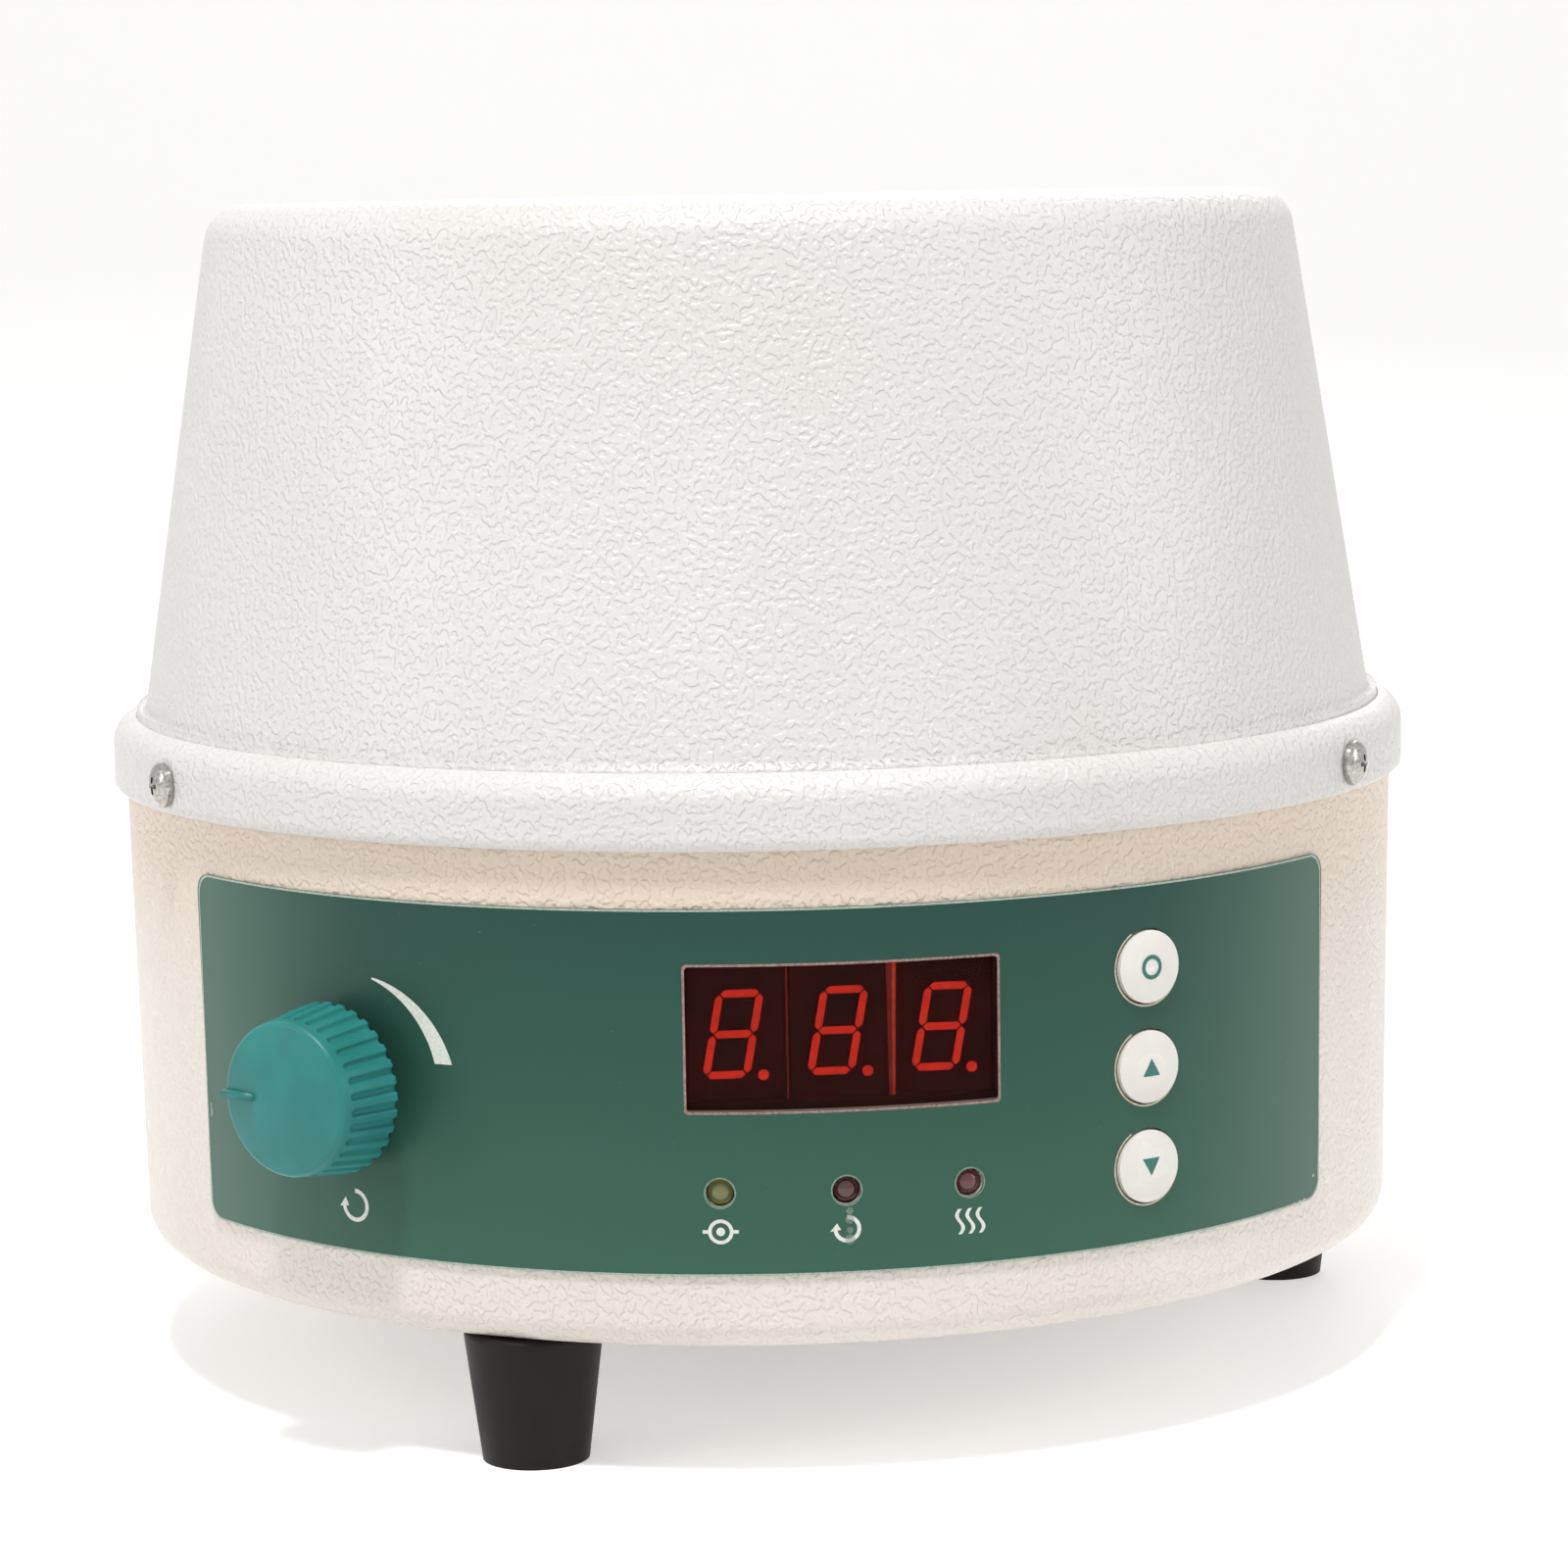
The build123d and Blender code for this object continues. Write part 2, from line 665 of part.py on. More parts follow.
stem_tip = switch_front - 1.5 * button_travel
flange_back = button_flange_front - button_flange[1]
for name, plane in button_planes.items():
    button_z = base_z + button_heights[name]
    crown_reach = casing_radius(button_z) + film + button_proud
    edge_reach = crown_reach - button_crown
    with BuildPart() as button:
        with BuildSketch(turning_section(plane)):
            with BuildLine():
                Polyline((0, crown_reach), (0, stem_tip), (stem_radius, stem_tip),
                         (stem_radius, flange_back), (button_flange[0], flange_back),
                         (button_flange[0], button_flange_front), (button_radius, button_flange_front),
                         (button_radius, edge_reach))
                ThreePointArc((button_radius, edge_reach),
                              dome_middle(button_radius, edge_reach, button_crown), (0, crown_reach))
            make_face()
        revolve(axis=turning_axis(plane))
    export(button, name)

# --- speed control: potentiometer behind the wall, its nut under the knob's skirt ---
wall_inside = casing_radius(knob_z) - sheet
pot_front = flat_front(wall_inside, pot_size[0]) - fit_gap
label_outside = casing_radius(knob_z) + film
washer_reach = casing_radius(knob_z + washer_size[0]) + film + thread_gap
bushing_tip = washer_reach + washer_size[1] + pot_nut_size[1] + 0.4
knob_reach = label_outside + knob_lift
face_reach = knob_reach + knob_depth
shaft_tip = face_reach - 1.5
shaft_seat = pot_front - 2.0
pot_tag = (1.2, 9.0, 0.8)
pot_tag_pitch = 5.0

with BuildPart() as potentiometer_body:
    with BuildSketch(knob_face_plane.offset(pot_front - pot_size[1])):
        Circle(pot_size[0])
    extrude(amount=pot_size[1])
    with BuildSketch(knob_face_plane.offset(pot_front)):
        Circle(bushing_radius)
    extrude(amount=bushing_tip - pot_front)
    with BuildSketch(knob_face_plane.offset(shaft_seat)):
        Circle(shaft_radius + running_gap)
    extrude(amount=bushing_tip - shaft_seat, mode=Mode.SUBTRACT)
    with BuildSketch(knob_face_plane.offset(pot_front - pot_size[1])):
        with Locations(*[(step * pot_tag_pitch, -pot_size[0] - 1) for step in (-1, 0, 1)]):
            Rectangle(*pot_tag[:2])
    extrude(amount=pot_tag[2])
export(potentiometer_body, "potentiometer_body")

with BuildPart() as potentiometer_nut:
    with BuildSketch(knob_face_plane.offset(washer_reach)):
        Circle(washer_size[0])
        Circle(bushing_radius + thread_gap, mode=Mode.SUBTRACT)
    extrude(amount=washer_size[1])
    with BuildSketch(knob_face_plane.offset(washer_reach + washer_size[1])):
        RegularPolygon(pot_nut_size[0] / 2, 6, major_radius=False)
        Circle(bushing_radius + thread_gap, mode=Mode.SUBTRACT)
    extrude(amount=pot_nut_size[1])
export(potentiometer_nut, "potentiometer_nut")

# the shaft's end is filed flat, on the side away from the pointer's travel
shaft_flat = shaft_radius * 0.5
flat_start = knob_reach + 1.0
with BuildPart() as potentiometer_shaft:
    with BuildSketch(knob_face_plane.offset(shaft_seat + fit_gap)):
        Circle(shaft_radius)
    extrude(amount=shaft_tip - shaft_seat - fit_gap)
    with BuildSketch(knob_face_plane.offset(flat_start)):
        with Locations((0, shaft_radius + shaft_flat)):
            Rectangle(4 * shaft_radius, 2 * shaft_radius)
    extrude(amount=knob_depth, mode=Mode.SUBTRACT)
export(potentiometer_shaft, "potentiometer_shaft")

# the knob: a fluted skirt, a slightly domed face and a raised pointer at nine o'clock
taper = atan2(knob_base_radius - knob_face_radius, knob_depth)
groove_length = hypot(knob_base_radius - knob_face_radius, knob_depth) - groove_stop
hub_radius = shaft_radius + knob_hub_wall
groove_circle = knob_base_radius + 0.15 * groove_radius
knob_section = turning_section(knob_face_plane)
with BuildPart() as speed_knob:
    with BuildSketch(knob_section) as half:
        with BuildLine():
            Polyline((0, knob_reach), (knob_base_radius, knob_reach), (knob_face_radius, face_reach))
            ThreePointArc((knob_face_radius, face_reach),
                          dome_middle(knob_face_radius, face_reach, knob_dome), (0, face_reach + knob_dome))
            Line((0, face_reach + knob_dome), (0, knob_reach))
        make_face()
        shoulder = half.vertices().sort_by_distance(
            knob_section.from_local_coords((knob_face_radius, face_reach, 0)))[0]
        fillet(shoulder, knob_edge)
    revolve(axis=turning_axis(knob_face_plane))
    # hollow skirt round the hub
    with BuildSketch(knob_face_plane.offset(knob_reach)):
        Circle(knob_face_radius - knob_wall + knob_skirt_thinning)
        Circle(hub_radius, mode=Mode.SUBTRACT)
    extrude(amount=knob_depth - 2 * knob_wall, mode=Mode.SUBTRACT)
    # bore, with the flat that the shaft's flat drives
    with BuildSketch(knob_face_plane.offset(knob_reach)):
        Circle(shaft_radius + thread_gap)
    extrude(amount=shaft_tip + fit_gap - knob_reach, mode=Mode.SUBTRACT)
    with BuildSketch(knob_face_plane.offset(flat_start + fit_gap)):
        with Locations((0, shaft_flat + thread_gap + shaft_radius / 2)):
            Rectangle(2 * shaft_radius, shaft_radius)
    extrude(amount=shaft_tip - flat_start)
    # pointer
    with BuildSketch(knob_face_plane.offset(face_reach - 0.3)):
        with Locations((-knob_face_radius + pointer_size[0] / 2, 0)):
            Rectangle(*pointer_size[:2])
    extrude(amount=knob_dome + pointer_size[2])
    # grooves along the tapered skirt, closed short of the face
    for step in range(knob_grooves):
        turn = radians(360 / knob_grooves * (step + 0.5))
        start = knob_face_plane.from_local_coords(
            (groove_circle * cos(turn), groove_circle * sin(turn), knob_reach))
        lean = (-sin(taper) * cos(turn), -sin(taper) * sin(turn), cos(taper))
        along = knob_face_plane.from_local_coords(lean) - knob_face_plane.origin
        with BuildSketch(Plane(start, z_dir=along).offset(-1)):
            Circle(groove_radius)
        extrude(amount=groove_length + 1, mode=Mode.SUBTRACT)
export(speed_knob, "speed_knob")

# --- heated bowl: woven glass bowl, heater, wool and an aluminium pan hung from the rim ---
bowl_z = top_z - bowl_sink
bowl_edge_z = top_z - bowl_rim_sink
heater_circle = bowl_outside + heater_space / 2
pan_z = bowl_z - wool_inside - insulation_floor - fit_gap + pan_inside
pan_bottom = pan_z - pan_outside


def turned_bowl(centre_z, outside, inside, inside_centre_z, edge_z, rounding=0.0):
    """Round-bottomed bowl with straight sides above its centre and a rounded edge."""
    with BuildPart() as bowl:
        with BuildSketch(Plane.XZ) as half:
            with BuildLine():
                CenterArc((0, centre_z), outside, -90, 90)
                Polyline((outside, centre_z), (outside, edge_z), (inside, edge_z), (inside, inside_centre_z))
                CenterArc((0, inside_centre_z), inside, -90, 90)
                Line((0, centre_z - outside), (0, inside_centre_z - inside))
            make_face()
            if rounding:
                fillet(half.vertices().group_by(Axis.Y)[-1], rounding)
        revolve(axis=Axis.Z)
    return bowl


woven_bowl = turned_bowl(bowl_z, bowl_outside, bowl_radius, bowl_z, bowl_edge_z, bowl_wall * 0.4)
export(woven_bowl, "woven_bowl")

with BuildPart() as heating_element:
    for turn in range(1, heater_turns + 1):
        rise = radians(turn * 80 / heater_turns)
        with BuildSketch(Plane.XZ):
            with Locations((heater_circle * sin(rise), bowl_z - heater_circle * cos(rise))):
                Circle(heater_wire)
        revolve(axis=Axis.Z)
export(heating_element, "heating_element")

with BuildPart() as mantle_insulation:
    add(turned_bowl(pan_z, pan_inside - fit_gap, wool_inside, bowl_z, rim_underside - pan_wall - fit_gap))
    with BuildSketch(Plane.XY.offset(pan_bottom)):
        with Locations((0, probe_circle)):
            Circle(probe_radius + fit_gap)
    extrude(amount=pan_outside, mode=Mode.SUBTRACT)
export(mantle_insulation, "mantle_insulation")

with BuildPart() as mantle_pan:
    add(turned_bowl(pan_z, pan_outside, pan_inside, pan_z, rim_underside))
    with BuildSketch(Plane.XZ):
        with Locations((pan_outside - pan_wall / 2, rim_underside)):
            Rectangle(pan_flange, pan_wall, align=(Align.MIN, Align.MAX))
    revolve(axis=Axis.Z)
    with BuildSketch(Plane.XY.offset(rim_underside)):
        with pan_stud_spots:
            Circle(m3 + bolt_gap)
    extrude(amount=-pan_wall, mode=Mode.SUBTRACT)
    with BuildSketch(Plane.XY.offset(pan_bottom)):
        with Locations((0, probe_circle)):
            Circle(probe_radius + bolt_gap)
    extrude(amount=pan_inside, mode=Mode.SUBTRACT)
export(mantle_pan, "mantle_pan")

# the probe's tip rests against the bowl, its collar against the pan
probe_tip = bowl_z - sqrt(bowl_outside**2 - (probe_circle - probe_radius) ** 2) - fit_gap
collar_top = pan_z - sqrt(pan_outside**2 - (probe_circle - probe_collar[0]) ** 2) - fit_gap
with BuildPart() as temperature_probe:
    with BuildSketch(Plane.XY.offset(collar_top - probe_collar[1])):
        with Locations((0, probe_circle)):
            Circle(probe_collar[0])
    extrude(amount=probe_collar[1])
    with BuildSketch(Plane.XY.offset(collar_top)):
        with Locations((0, probe_circle)):
            Circle(probe_radius)
    extrude(amount=probe_tip - collar_top)
export(temperature_probe, "temperature_probe")

# --- stirrer drive: motor under a bridge, magnets on a carrier close below the pan ---
bridge_low = bridge_z - bracket_sheet
foot_top = floor_z + bracket_sheet
half_span, half_depth = bracket_half
foot_end = half_span + bracket_foot
with BuildPart() as motor_bracket:
    with BuildSketch(Plane.XZ):
        with BuildLine():
            FilletPolyline((-foot_end, foot_top), (-half_span, foot_top), (-half_span, bridge_z),
                           (half_span, bridge_z), (half_span, foot_top), (foot_end, foot_top),
                           radius=bracket_bend)
            offset(amount=bracket_sheet, side=Side.RIGHT)
        make_face()
    extrude(amount=half_depth, both=True)
    with BuildSketch(Plane.XY.offset(bridge_low)):
        Circle(motor_boss[0] + fit_gap)
        with PolarLocations(motor_screw_circle, 2):
            Circle(m3 + bolt_gap)
    extrude(amount=2 * bracket_sheet, mode=Mode.SUBTRACT)
    with BuildSketch(Plane.XY):
        with Locations(*floor_screw_points[:4]):
            Circle(m3 + thread_gap)
    extrude(amount=bridge_low, mode=Mode.SUBTRACT)
export(motor_bracket, "motor_bracket")

can_bottom = bridge_low - motor_length
can_inside = motor_radius - motor_wall
with BuildPart() as motor_can:
    with BuildSketch(Plane.XY.offset(can_bottom)):
        Circle(motor_radius)
    extrude(amount=motor_length)
    with BuildSketch(Plane.XY.offset(bridge_low)):
        Circle(motor_boss[0])
    extrude(amount=motor_boss[1])
    with BuildSketch(Plane.XY.offset(can_bottom)):
        Circle(can_inside)
    extrude(amount=motor_length - bracket_sheet, mode=Mode.SUBTRACT)
    with BuildSketch(Plane.XY.offset(can_bottom)):
        Circle(bearing_radius)
    extrude(amount=motor_length + motor_boss[1], mode=Mode.SUBTRACT)
    with BuildSketch(Plane.XY.offset(can_bottom)):
        with PolarLocations(motor_screw_circle, 2):
            Circle(m3 + thread_gap)
    extrude(amount=motor_length, mode=Mode.SUBTRACT)
export(motor_can, "motor_can")

cap_plug = 4.0
with BuildPart() as motor_end_cap:
    with BuildSketch(Plane.XY.offset(can_bottom)):
        Circle(motor_radius)
        Circle(bearing_radius, mode=Mode.SUBTRACT)
    extrude(amount=-motor_wall)
    with BuildSketch(Plane.XY.offset(can_bottom)):
        Circle(can_inside - running_gap)
        Circle(bearing_radius, mode=Mode.SUBTRACT)
    extrude(amount=cap_plug)
export(motor_end_cap, "motor_end_cap")

upper_bearing_z = bridge_low + motor_boss[1] - bearing_length
lower_bearing_z = can_bottom - motor_wall
with BuildPart() as motor_bearings:
    for level in (upper_bearing_z, lower_bearing_z):
        with BuildSketch(Plane.XY.offset(level)):
            Circle(bearing_radius)
            Circle(motor_shaft_radius + running_gap, mode=Mode.SUBTRACT)
        extrude(amount=bearing_length)
export(motor_bearings, "motor_bearings")

carrier_top = pan_bottom - magnet_air_gap - magnet_height + magnet_pocket
carrier_low = carrier_top - carrier_depth
hub_low = carrier_low - carrier_hub[1]
with BuildPart() as motor_shaft:
    with BuildSketch(Plane.XY.offset(lower_bearing_z + 0.5)):
        Circle(motor_shaft_radius)
    extrude(amount=carrier_top - 0.5 - lower_bearing_z)
export(motor_shaft, "motor_shaft")

core_low = can_bottom + cap_plug + 2.0
core_length = 26.0
core_radius = 12.8
commutator = (5.0, 4.0)
armature_slot = (9.0, 2.0)
armature_slots = 8
magnet_clearance = 0.8         # between the armature and the magnets
magnet_split = 6.0
with BuildPart() as motor_armature:
    with BuildSketch(Plane.XY.offset(core_low)):
        Circle(core_radius)
        Circle(motor_shaft_radius + thread_gap / 2, mode=Mode.SUBTRACT)
        with PolarLocations(core_radius, armature_slots):
            SlotOverall(*armature_slot, mode=Mode.SUBTRACT)
    extrude(amount=core_length)
    with BuildSketch(Plane.XY.offset(core_low + core_length)):
        Circle(commutator[0])
        Circle(motor_shaft_radius + thread_gap / 2, mode=Mode.SUBTRACT)
    extrude(amount=commutator[1])
export(motor_armature, "motor_armature")

with BuildPart() as stator_magnets:
    with BuildSketch(Plane.XY.offset(core_low - 1)):
        Circle(can_inside - running_gap)
        Circle(core_radius + magnet_clearance, mode=Mode.SUBTRACT)
        Rectangle(magnet_split, 2 * motor_radius, mode=Mode.SUBTRACT)
    extrude(amount=core_length + 2)
export(stator_magnets, "stator_magnets")

hub_middle = (hub_low + carrier_low) / 2
with BuildPart() as magnet_carrier:
    with BuildSketch(Plane.XY.offset(carrier_low)):
        Circle(carrier_radius)
    extrude(amount=carrier_depth)
    with BuildSketch(Plane.XY.offset(hub_low)):
        Circle(carrier_hub[0])
    extrude(amount=carrier_hub[1])
    with BuildSketch(Plane.XY.offset(hub_low)):
        Circle(motor_shaft_radius + thread_gap / 2)
    extrude(amount=carrier_depth + carrier_hub[1], mode=Mode.SUBTRACT)
    with BuildSketch(Plane.XY.offset(carrier_top)):
        with PolarLocations(magnet_circle, 2):
            Circle(magnet_radius + thread_gap)
    extrude(amount=-magnet_pocket, mode=Mode.SUBTRACT)
    with BuildSketch(Plane.YZ.offset(motor_shaft_radius)):
        with Locations((0, hub_middle)):
            Circle(m3 + thread_gap)
    extrude(amount=carrier_hub[0], mode=Mode.SUBTRACT)
export(magnet_carrier, "magnet_carrier")

with BuildPart() as stir_magnets:
    with BuildSketch(Plane.XY.offset(carrier_top - magnet_pocket)):
        with PolarLocations(magnet_circle, 2):
            Circle(magnet_radius)
    extrude(amount=magnet_height)
export(stir_magnets, "stir_magnets")

# heat shield: a dish that lies on the bridge and fills the casing above the electronics
shield_radius = casing_radius(bridge_z) - sheet - fit_gap
shield_mouth = motor_screw_circle + m3_head[0] + 2
with BuildPart() as heat_shield:
    with BuildSketch(Plane.XZ):
        with BuildLine():
            FilletPolyline((shield_mouth, bridge_z), (shield_radius, bridge_z),
                           (shield_radius, bridge_z + shield_rim), radius=1.5)
            offset(amount=shield_sheet, side=Side.LEFT)
        make_face()
    revolve(axis=Axis.Z)
export(heat_shield, "heat_shield")

# --- main board and transformer on the casing's floor ---
main_top = floor_z + main_spacer + board_sheet
with BuildPart() as main_board:
    with BuildSketch(Plane.XY.offset(floor_z + main_spacer)):
        with Locations(main_board_centre):
            Rectangle(*main_board_size)
        with Locations(*main_board_posts):
            Circle(m3 + bolt_gap, mode=Mode.SUBTRACT)
    extrude(amount=board_sheet)
export(main_board, "main_board")

board_x, board_y = main_board_centre
sink_spot = (board_x + 14, board_y + 6)
sink_size = (26.0, 2.0, 24.0)
sink_fin = (1.0, 10.0)
sink_fins = 6
sink_pitch = 5.0
triac_spot = (sink_spot[0], sink_spot[1] - sink_size[1] / 2 - 0.1)
triac_size = (10.0, 4.5, 15.0)
triac_leg = (0.8, 0.5, 5.0)
triac_pitch = 2.54
capacitor_spots = ((board_x - 24, board_y - 5), (board_x - 10, board_y - 5))
capacitor_size = (5.5, 18.0)
relay_spot = (board_x + 24, board_y - 6)
relay_size = (15.0, 12.0, 14.0)
terminal_spot = (board_x - 18, board_y + 10)
terminal_ways = 6
terminal_pitch = 5.0
terminal_height = 11.0
terminal_depth = 9.0
terminal_hole = (1.7, 6.0)
with BuildPart() as board_components:
    # heat sink
    with BuildSketch(Plane.XY.offset(main_top)):
        with Locations(sink_spot):
            Rectangle(*sink_size[:2])
            with GridLocations(sink_pitch, 0, sink_fins, 1):
                Rectangle(*sink_fin, align=(Align.CENTER, Align.MIN))
    extrude(amount=sink_size[2])
    # triac that stands against it on three legs
    with BuildSketch(Plane.XY.offset(main_top)):
        with Locations(triac_spot):
            with GridLocations(triac_pitch, 0, 3, 1):
                Rectangle(*triac_leg[:2], align=(Align.CENTER, Align.MAX))
    extrude(amount=triac_leg[2])
    with BuildSketch(Plane.XY.offset(main_top + triac_leg[2] - 1)):
        with Locations(triac_spot):
            Rectangle(*triac_size[:2], align=(Align.CENTER, Align.MAX))
    extrude(amount=triac_size[2])
    # capacitors and a relay
    with BuildSketch(Plane.XY.offset(main_top)):
        with Locations(*capacitor_spots):
            Circle(capacitor_size[0])
    extrude(amount=capacitor_size[1])
    with BuildSketch(Plane.XY.offset(main_top)):
        with Locations(relay_spot):
            Rectangle(*relay_size[:2])
    extrude(amount=relay_size[2])
    # terminal block
    with BuildSketch(Plane.XY.offset(main_top)):
        with Locations(terminal_spot):
            Rectangle(terminal_ways * terminal_pitch, terminal_depth)
    extrude(amount=terminal_height)
    with BuildSketch(Plane.XY.offset(main_top + terminal_height)):
        with Locations(terminal_spot):
            with GridLocations(terminal_pitch, 0, terminal_ways, 1):
                Circle(terminal_hole[0])
    extrude(amount=-terminal_hole[1], mode=Mode.SUBTRACT)
export(board_components, "board_components")

core_size = (40.0, 16.0, 34.0)
window_span = (6.5, 14.0)
yoke = 6.0
winding_depth = 30.0
winding_corner = 2.0
transformer_spot = Plane((*transformer_centre, floor_z))
with BuildPart() as transformer_core:
    with BuildSketch(transformer_spot):
        Rectangle(*core_size[:2])
    extrude(amount=core_size[2])
    with BuildSketch(Plane.XZ.offset(-transformer_centre[1] + core_size[1] / 2 + 1)):
        with Locations((transformer_centre[0], floor_z + core_size[2] / 2)):
            with GridLocations(sum(window_span), 0, 2, 1):
                Rectangle(window_span[1] - window_span[0], core_size[2] - 2 * yoke)
    extrude(amount=-core_size[1] - 2, mode=Mode.SUBTRACT)
export(transformer_core, "transformer_core")

with BuildPart() as transformer_winding:
    with BuildSketch(transformer_spot.offset(yoke + fit_gap)):
        RectangleRounded(2 * (window_span[1] - fit_gap), winding_depth, winding_corner)
        Rectangle(2 * (window_span[0] + fit_gap), core_size[1] + 2 * fit_gap, mode=Mode.SUBTRACT)
    extrude(amount=core_size[2] - 2 * (yoke + fit_gap))
export(transformer_winding, "transformer_winding")

# --- rear panel: mains inlet, power switch and fuse, all on the flat let into the back ---
rear = Plane((0, pocket_face, 0), x_dir=(1, 0, 0), z_dir=(0, -1, 0))
inlet_front = inlet_flange[2]
inlet_pin_spots = ((-7, inlet_z - 2), (0, inlet_z + 2), (7, inlet_z - 2))
inlet_tag = (0.8, 6.0)
inlet_screw_length = 8.0
with BuildPart() as power_inlet:
    with BuildSketch(rear):
        with Locations((0, inlet_z)):
            RectangleRounded(*inlet_flange[:2], 3)
        with Locations((-inlet_screw_half, inlet_z), (inlet_screw_half, inlet_z)):
            Circle(m3 + bolt_gap, mode=Mode.SUBTRACT)
    extrude(amount=-inlet_flange[2])
    with BuildSketch(rear):
        with Locations((0, inlet_z)):
            Rectangle(*inlet_body[:2])
    extrude(amount=inlet_body[2])
    with BuildSketch(rear.offset(-inlet_front)):
        with Locations((0, inlet_z)):
            Rectangle(*inlet_cavity[:2])
            chamfer(vertices().group_by(Axis.Z)[-1], 4)
    extrude(amount=inlet_cavity[2], mode=Mode.SUBTRACT)
    with BuildSketch(rear):
        with Locations(*inlet_pin_spots):
            Rectangle(inlet_pin[0], inlet_pin[1])
    extrude(amount=inlet_body[2], mode=Mode.SUBTRACT)
export(power_inlet, "power_inlet")

pin_front = inlet_front - inlet_pin_recess
with BuildPart() as inlet_pins:
    with BuildSketch(rear.offset(-pin_front)):
        with Locations(*inlet_pin_spots):
            Rectangle(inlet_pin[0], inlet_pin[1])
    extrude(amount=inlet_body[2] + pin_front)
    with BuildSketch(rear.offset(inlet_body[2])):
        with Locations(*inlet_pin_spots):
            Rectangle(inlet_tag[0], inlet_pin[1])
    extrude(amount=inlet_tag[1])
export(inlet_pins, "inlet_pins")

inlet_screw_planes = [Plane((side * inlet_screw_half, pocket_face + inlet_flange[2], inlet_z),
                            x_dir=(1, 0, 0), z_dir=(0, 1, 0)) for side in (-1, 1)]
inlet_screws = copies(pan_head_screw(m3, inlet_screw_length, m3_head), inlet_screw_planes)
export(inlet_screws, "inlet_screws")
# the rocker turns on a pin in the switch's body and is drawn tipped to its off side
rocker_pivot = Plane((switch_offset, pocket_face + 0.5, control_row_z))
well_radius = rocker_radius + rocker_gap
well_width = rocker_width + 2 * fit_gap
switch_tag = (0.8, 4.8, 7.0)
switch_tag_half = 5.0
with BuildPart() as switch_body:
    with BuildSketch(rear):
        with Locations((switch_offset, control_row_z)):
            RectangleRounded(*switch_bezel[:2], 1)
    extrude(amount=-switch_bezel[2])
    with BuildSketch(rear):
        with Locations((switch_offset, control_row_z)):
            Rectangle(*switch_body_size[:2])
    extrude(amount=switch_body_size[2])
    with BuildSketch(rocker_pivot.offset(-well_width / 2)):
        Circle(well_radius)
    extrude(amount=well_width, mode=Mode.SUBTRACT)
    with BuildSketch(rocker_pivot.offset(-well_width / 2 - rocker_pin)):
        Circle(rocker_pin + running_gap)
    extrude(amount=well_width + 2 * rocker_pin, mode=Mode.SUBTRACT)
    with BuildSketch(rear.offset(switch_body_size[2])):
        with Locations(*[(switch_offset + side * switch_tag_half, control_row_z) for side in (-1, 1)]):
            Rectangle(*switch_tag[:2])
    extrude(amount=switch_tag[2])
export(switch_body, "switch_body")

rocker_rest = Plane(rocker_pivot.origin, x_dir=(cos(radians(rocker_tilt)), -sin(radians(rocker_tilt)), 0),
                    z_dir=(0, 0, 1))
rocker_face = ((-6.6, -1.0), (-6.8, 2.3), (0, 1.4), (6.8, 2.3), (6.6, -1.0))
rocker_belly = 6.5
with BuildPart() as power_rocker:
    with BuildSketch(rocker_rest.offset(-rocker_width / 2)):
        with BuildLine():
            Polyline(*rocker_face)
            ThreePointArc(rocker_face[-1], (0, -rocker_belly), rocker_face[0])
        make_face()
    extrude(amount=rocker_width)
    with BuildSketch(rocker_pivot.offset(-rocker_width / 2 - rocker_pin)):
        Circle(rocker_pin)
    extrude(amount=rocker_width + 2 * rocker_pin)
export(power_rocker, "power_rocker")

fuse_axis_plane = Plane((fuse_offset, pocket_face, control_row_z), x_dir=(1, 0, 0), z_dir=(0, -1, 0))
fuse_nut_size = (15.0, 2.5)
fuse_knurl = (16, 0.6, 0.3)     # count, radius, how far its centre lies outside the cap
fuse_slot = (8.0, 1.0)
fuse_plug_depth = fuse_plug_length - fuse_flange[1] - fit_gap
with BuildPart() as fuse_holder:
    with BuildSketch(fuse_axis_plane):
        Circle(fuse_flange[0])
    extrude(amount=-fuse_flange[1])
    with BuildSketch(fuse_axis_plane):
        Circle(fuse_body[0])
    extrude(amount=fuse_body[1])
    with BuildSketch(fuse_axis_plane.offset(-fuse_flange[1])):
        Circle(fuse_bore)
    extrude(amount=fuse_flange[1] + fuse_plug_depth + fuse_size[1] + 1.0, mode=Mode.SUBTRACT)
export(fuse_holder, "fuse_holder")

with BuildPart() as fuse_nut:
    with BuildSketch(fuse_axis_plane.offset(sheet)):
        RegularPolygon(fuse_nut_size[0] / 2, 6, major_radius=False)
        Circle(fuse_body[0] + thread_gap, mode=Mode.SUBTRACT)
    extrude(amount=fuse_nut_size[1])
export(fuse_nut, "fuse_nut")

cap_plane = fuse_axis_plane.offset(-fuse_flange[1] - fit_gap)
with BuildPart() as fuse_cap:
    with BuildSketch(cap_plane):
        Circle(fuse_cap_size[0])
        with PolarLocations(fuse_cap_size[0] + fuse_knurl[2], fuse_knurl[0]):
            Circle(fuse_knurl[1], mode=Mode.SUBTRACT)
    extrude(amount=-fuse_cap_size[1])
    with BuildSketch(cap_plane):
        Circle(fuse_bore - 2 * running_gap)
    extrude(amount=fuse_plug_length)
    with BuildSketch(cap_plane.offset(-fuse_cap_size[1])):
        Rectangle(*fuse_slot)
    extrude(amount=1, mode=Mode.SUBTRACT)
export(fuse_cap, "fuse_cap")

with BuildPart() as fuse:
    with BuildSketch(cap_plane.offset(fuse_plug_length)):
        Circle(fuse_size[0])
    extrude(amount=fuse_size[1])
export(fuse, "fuse")

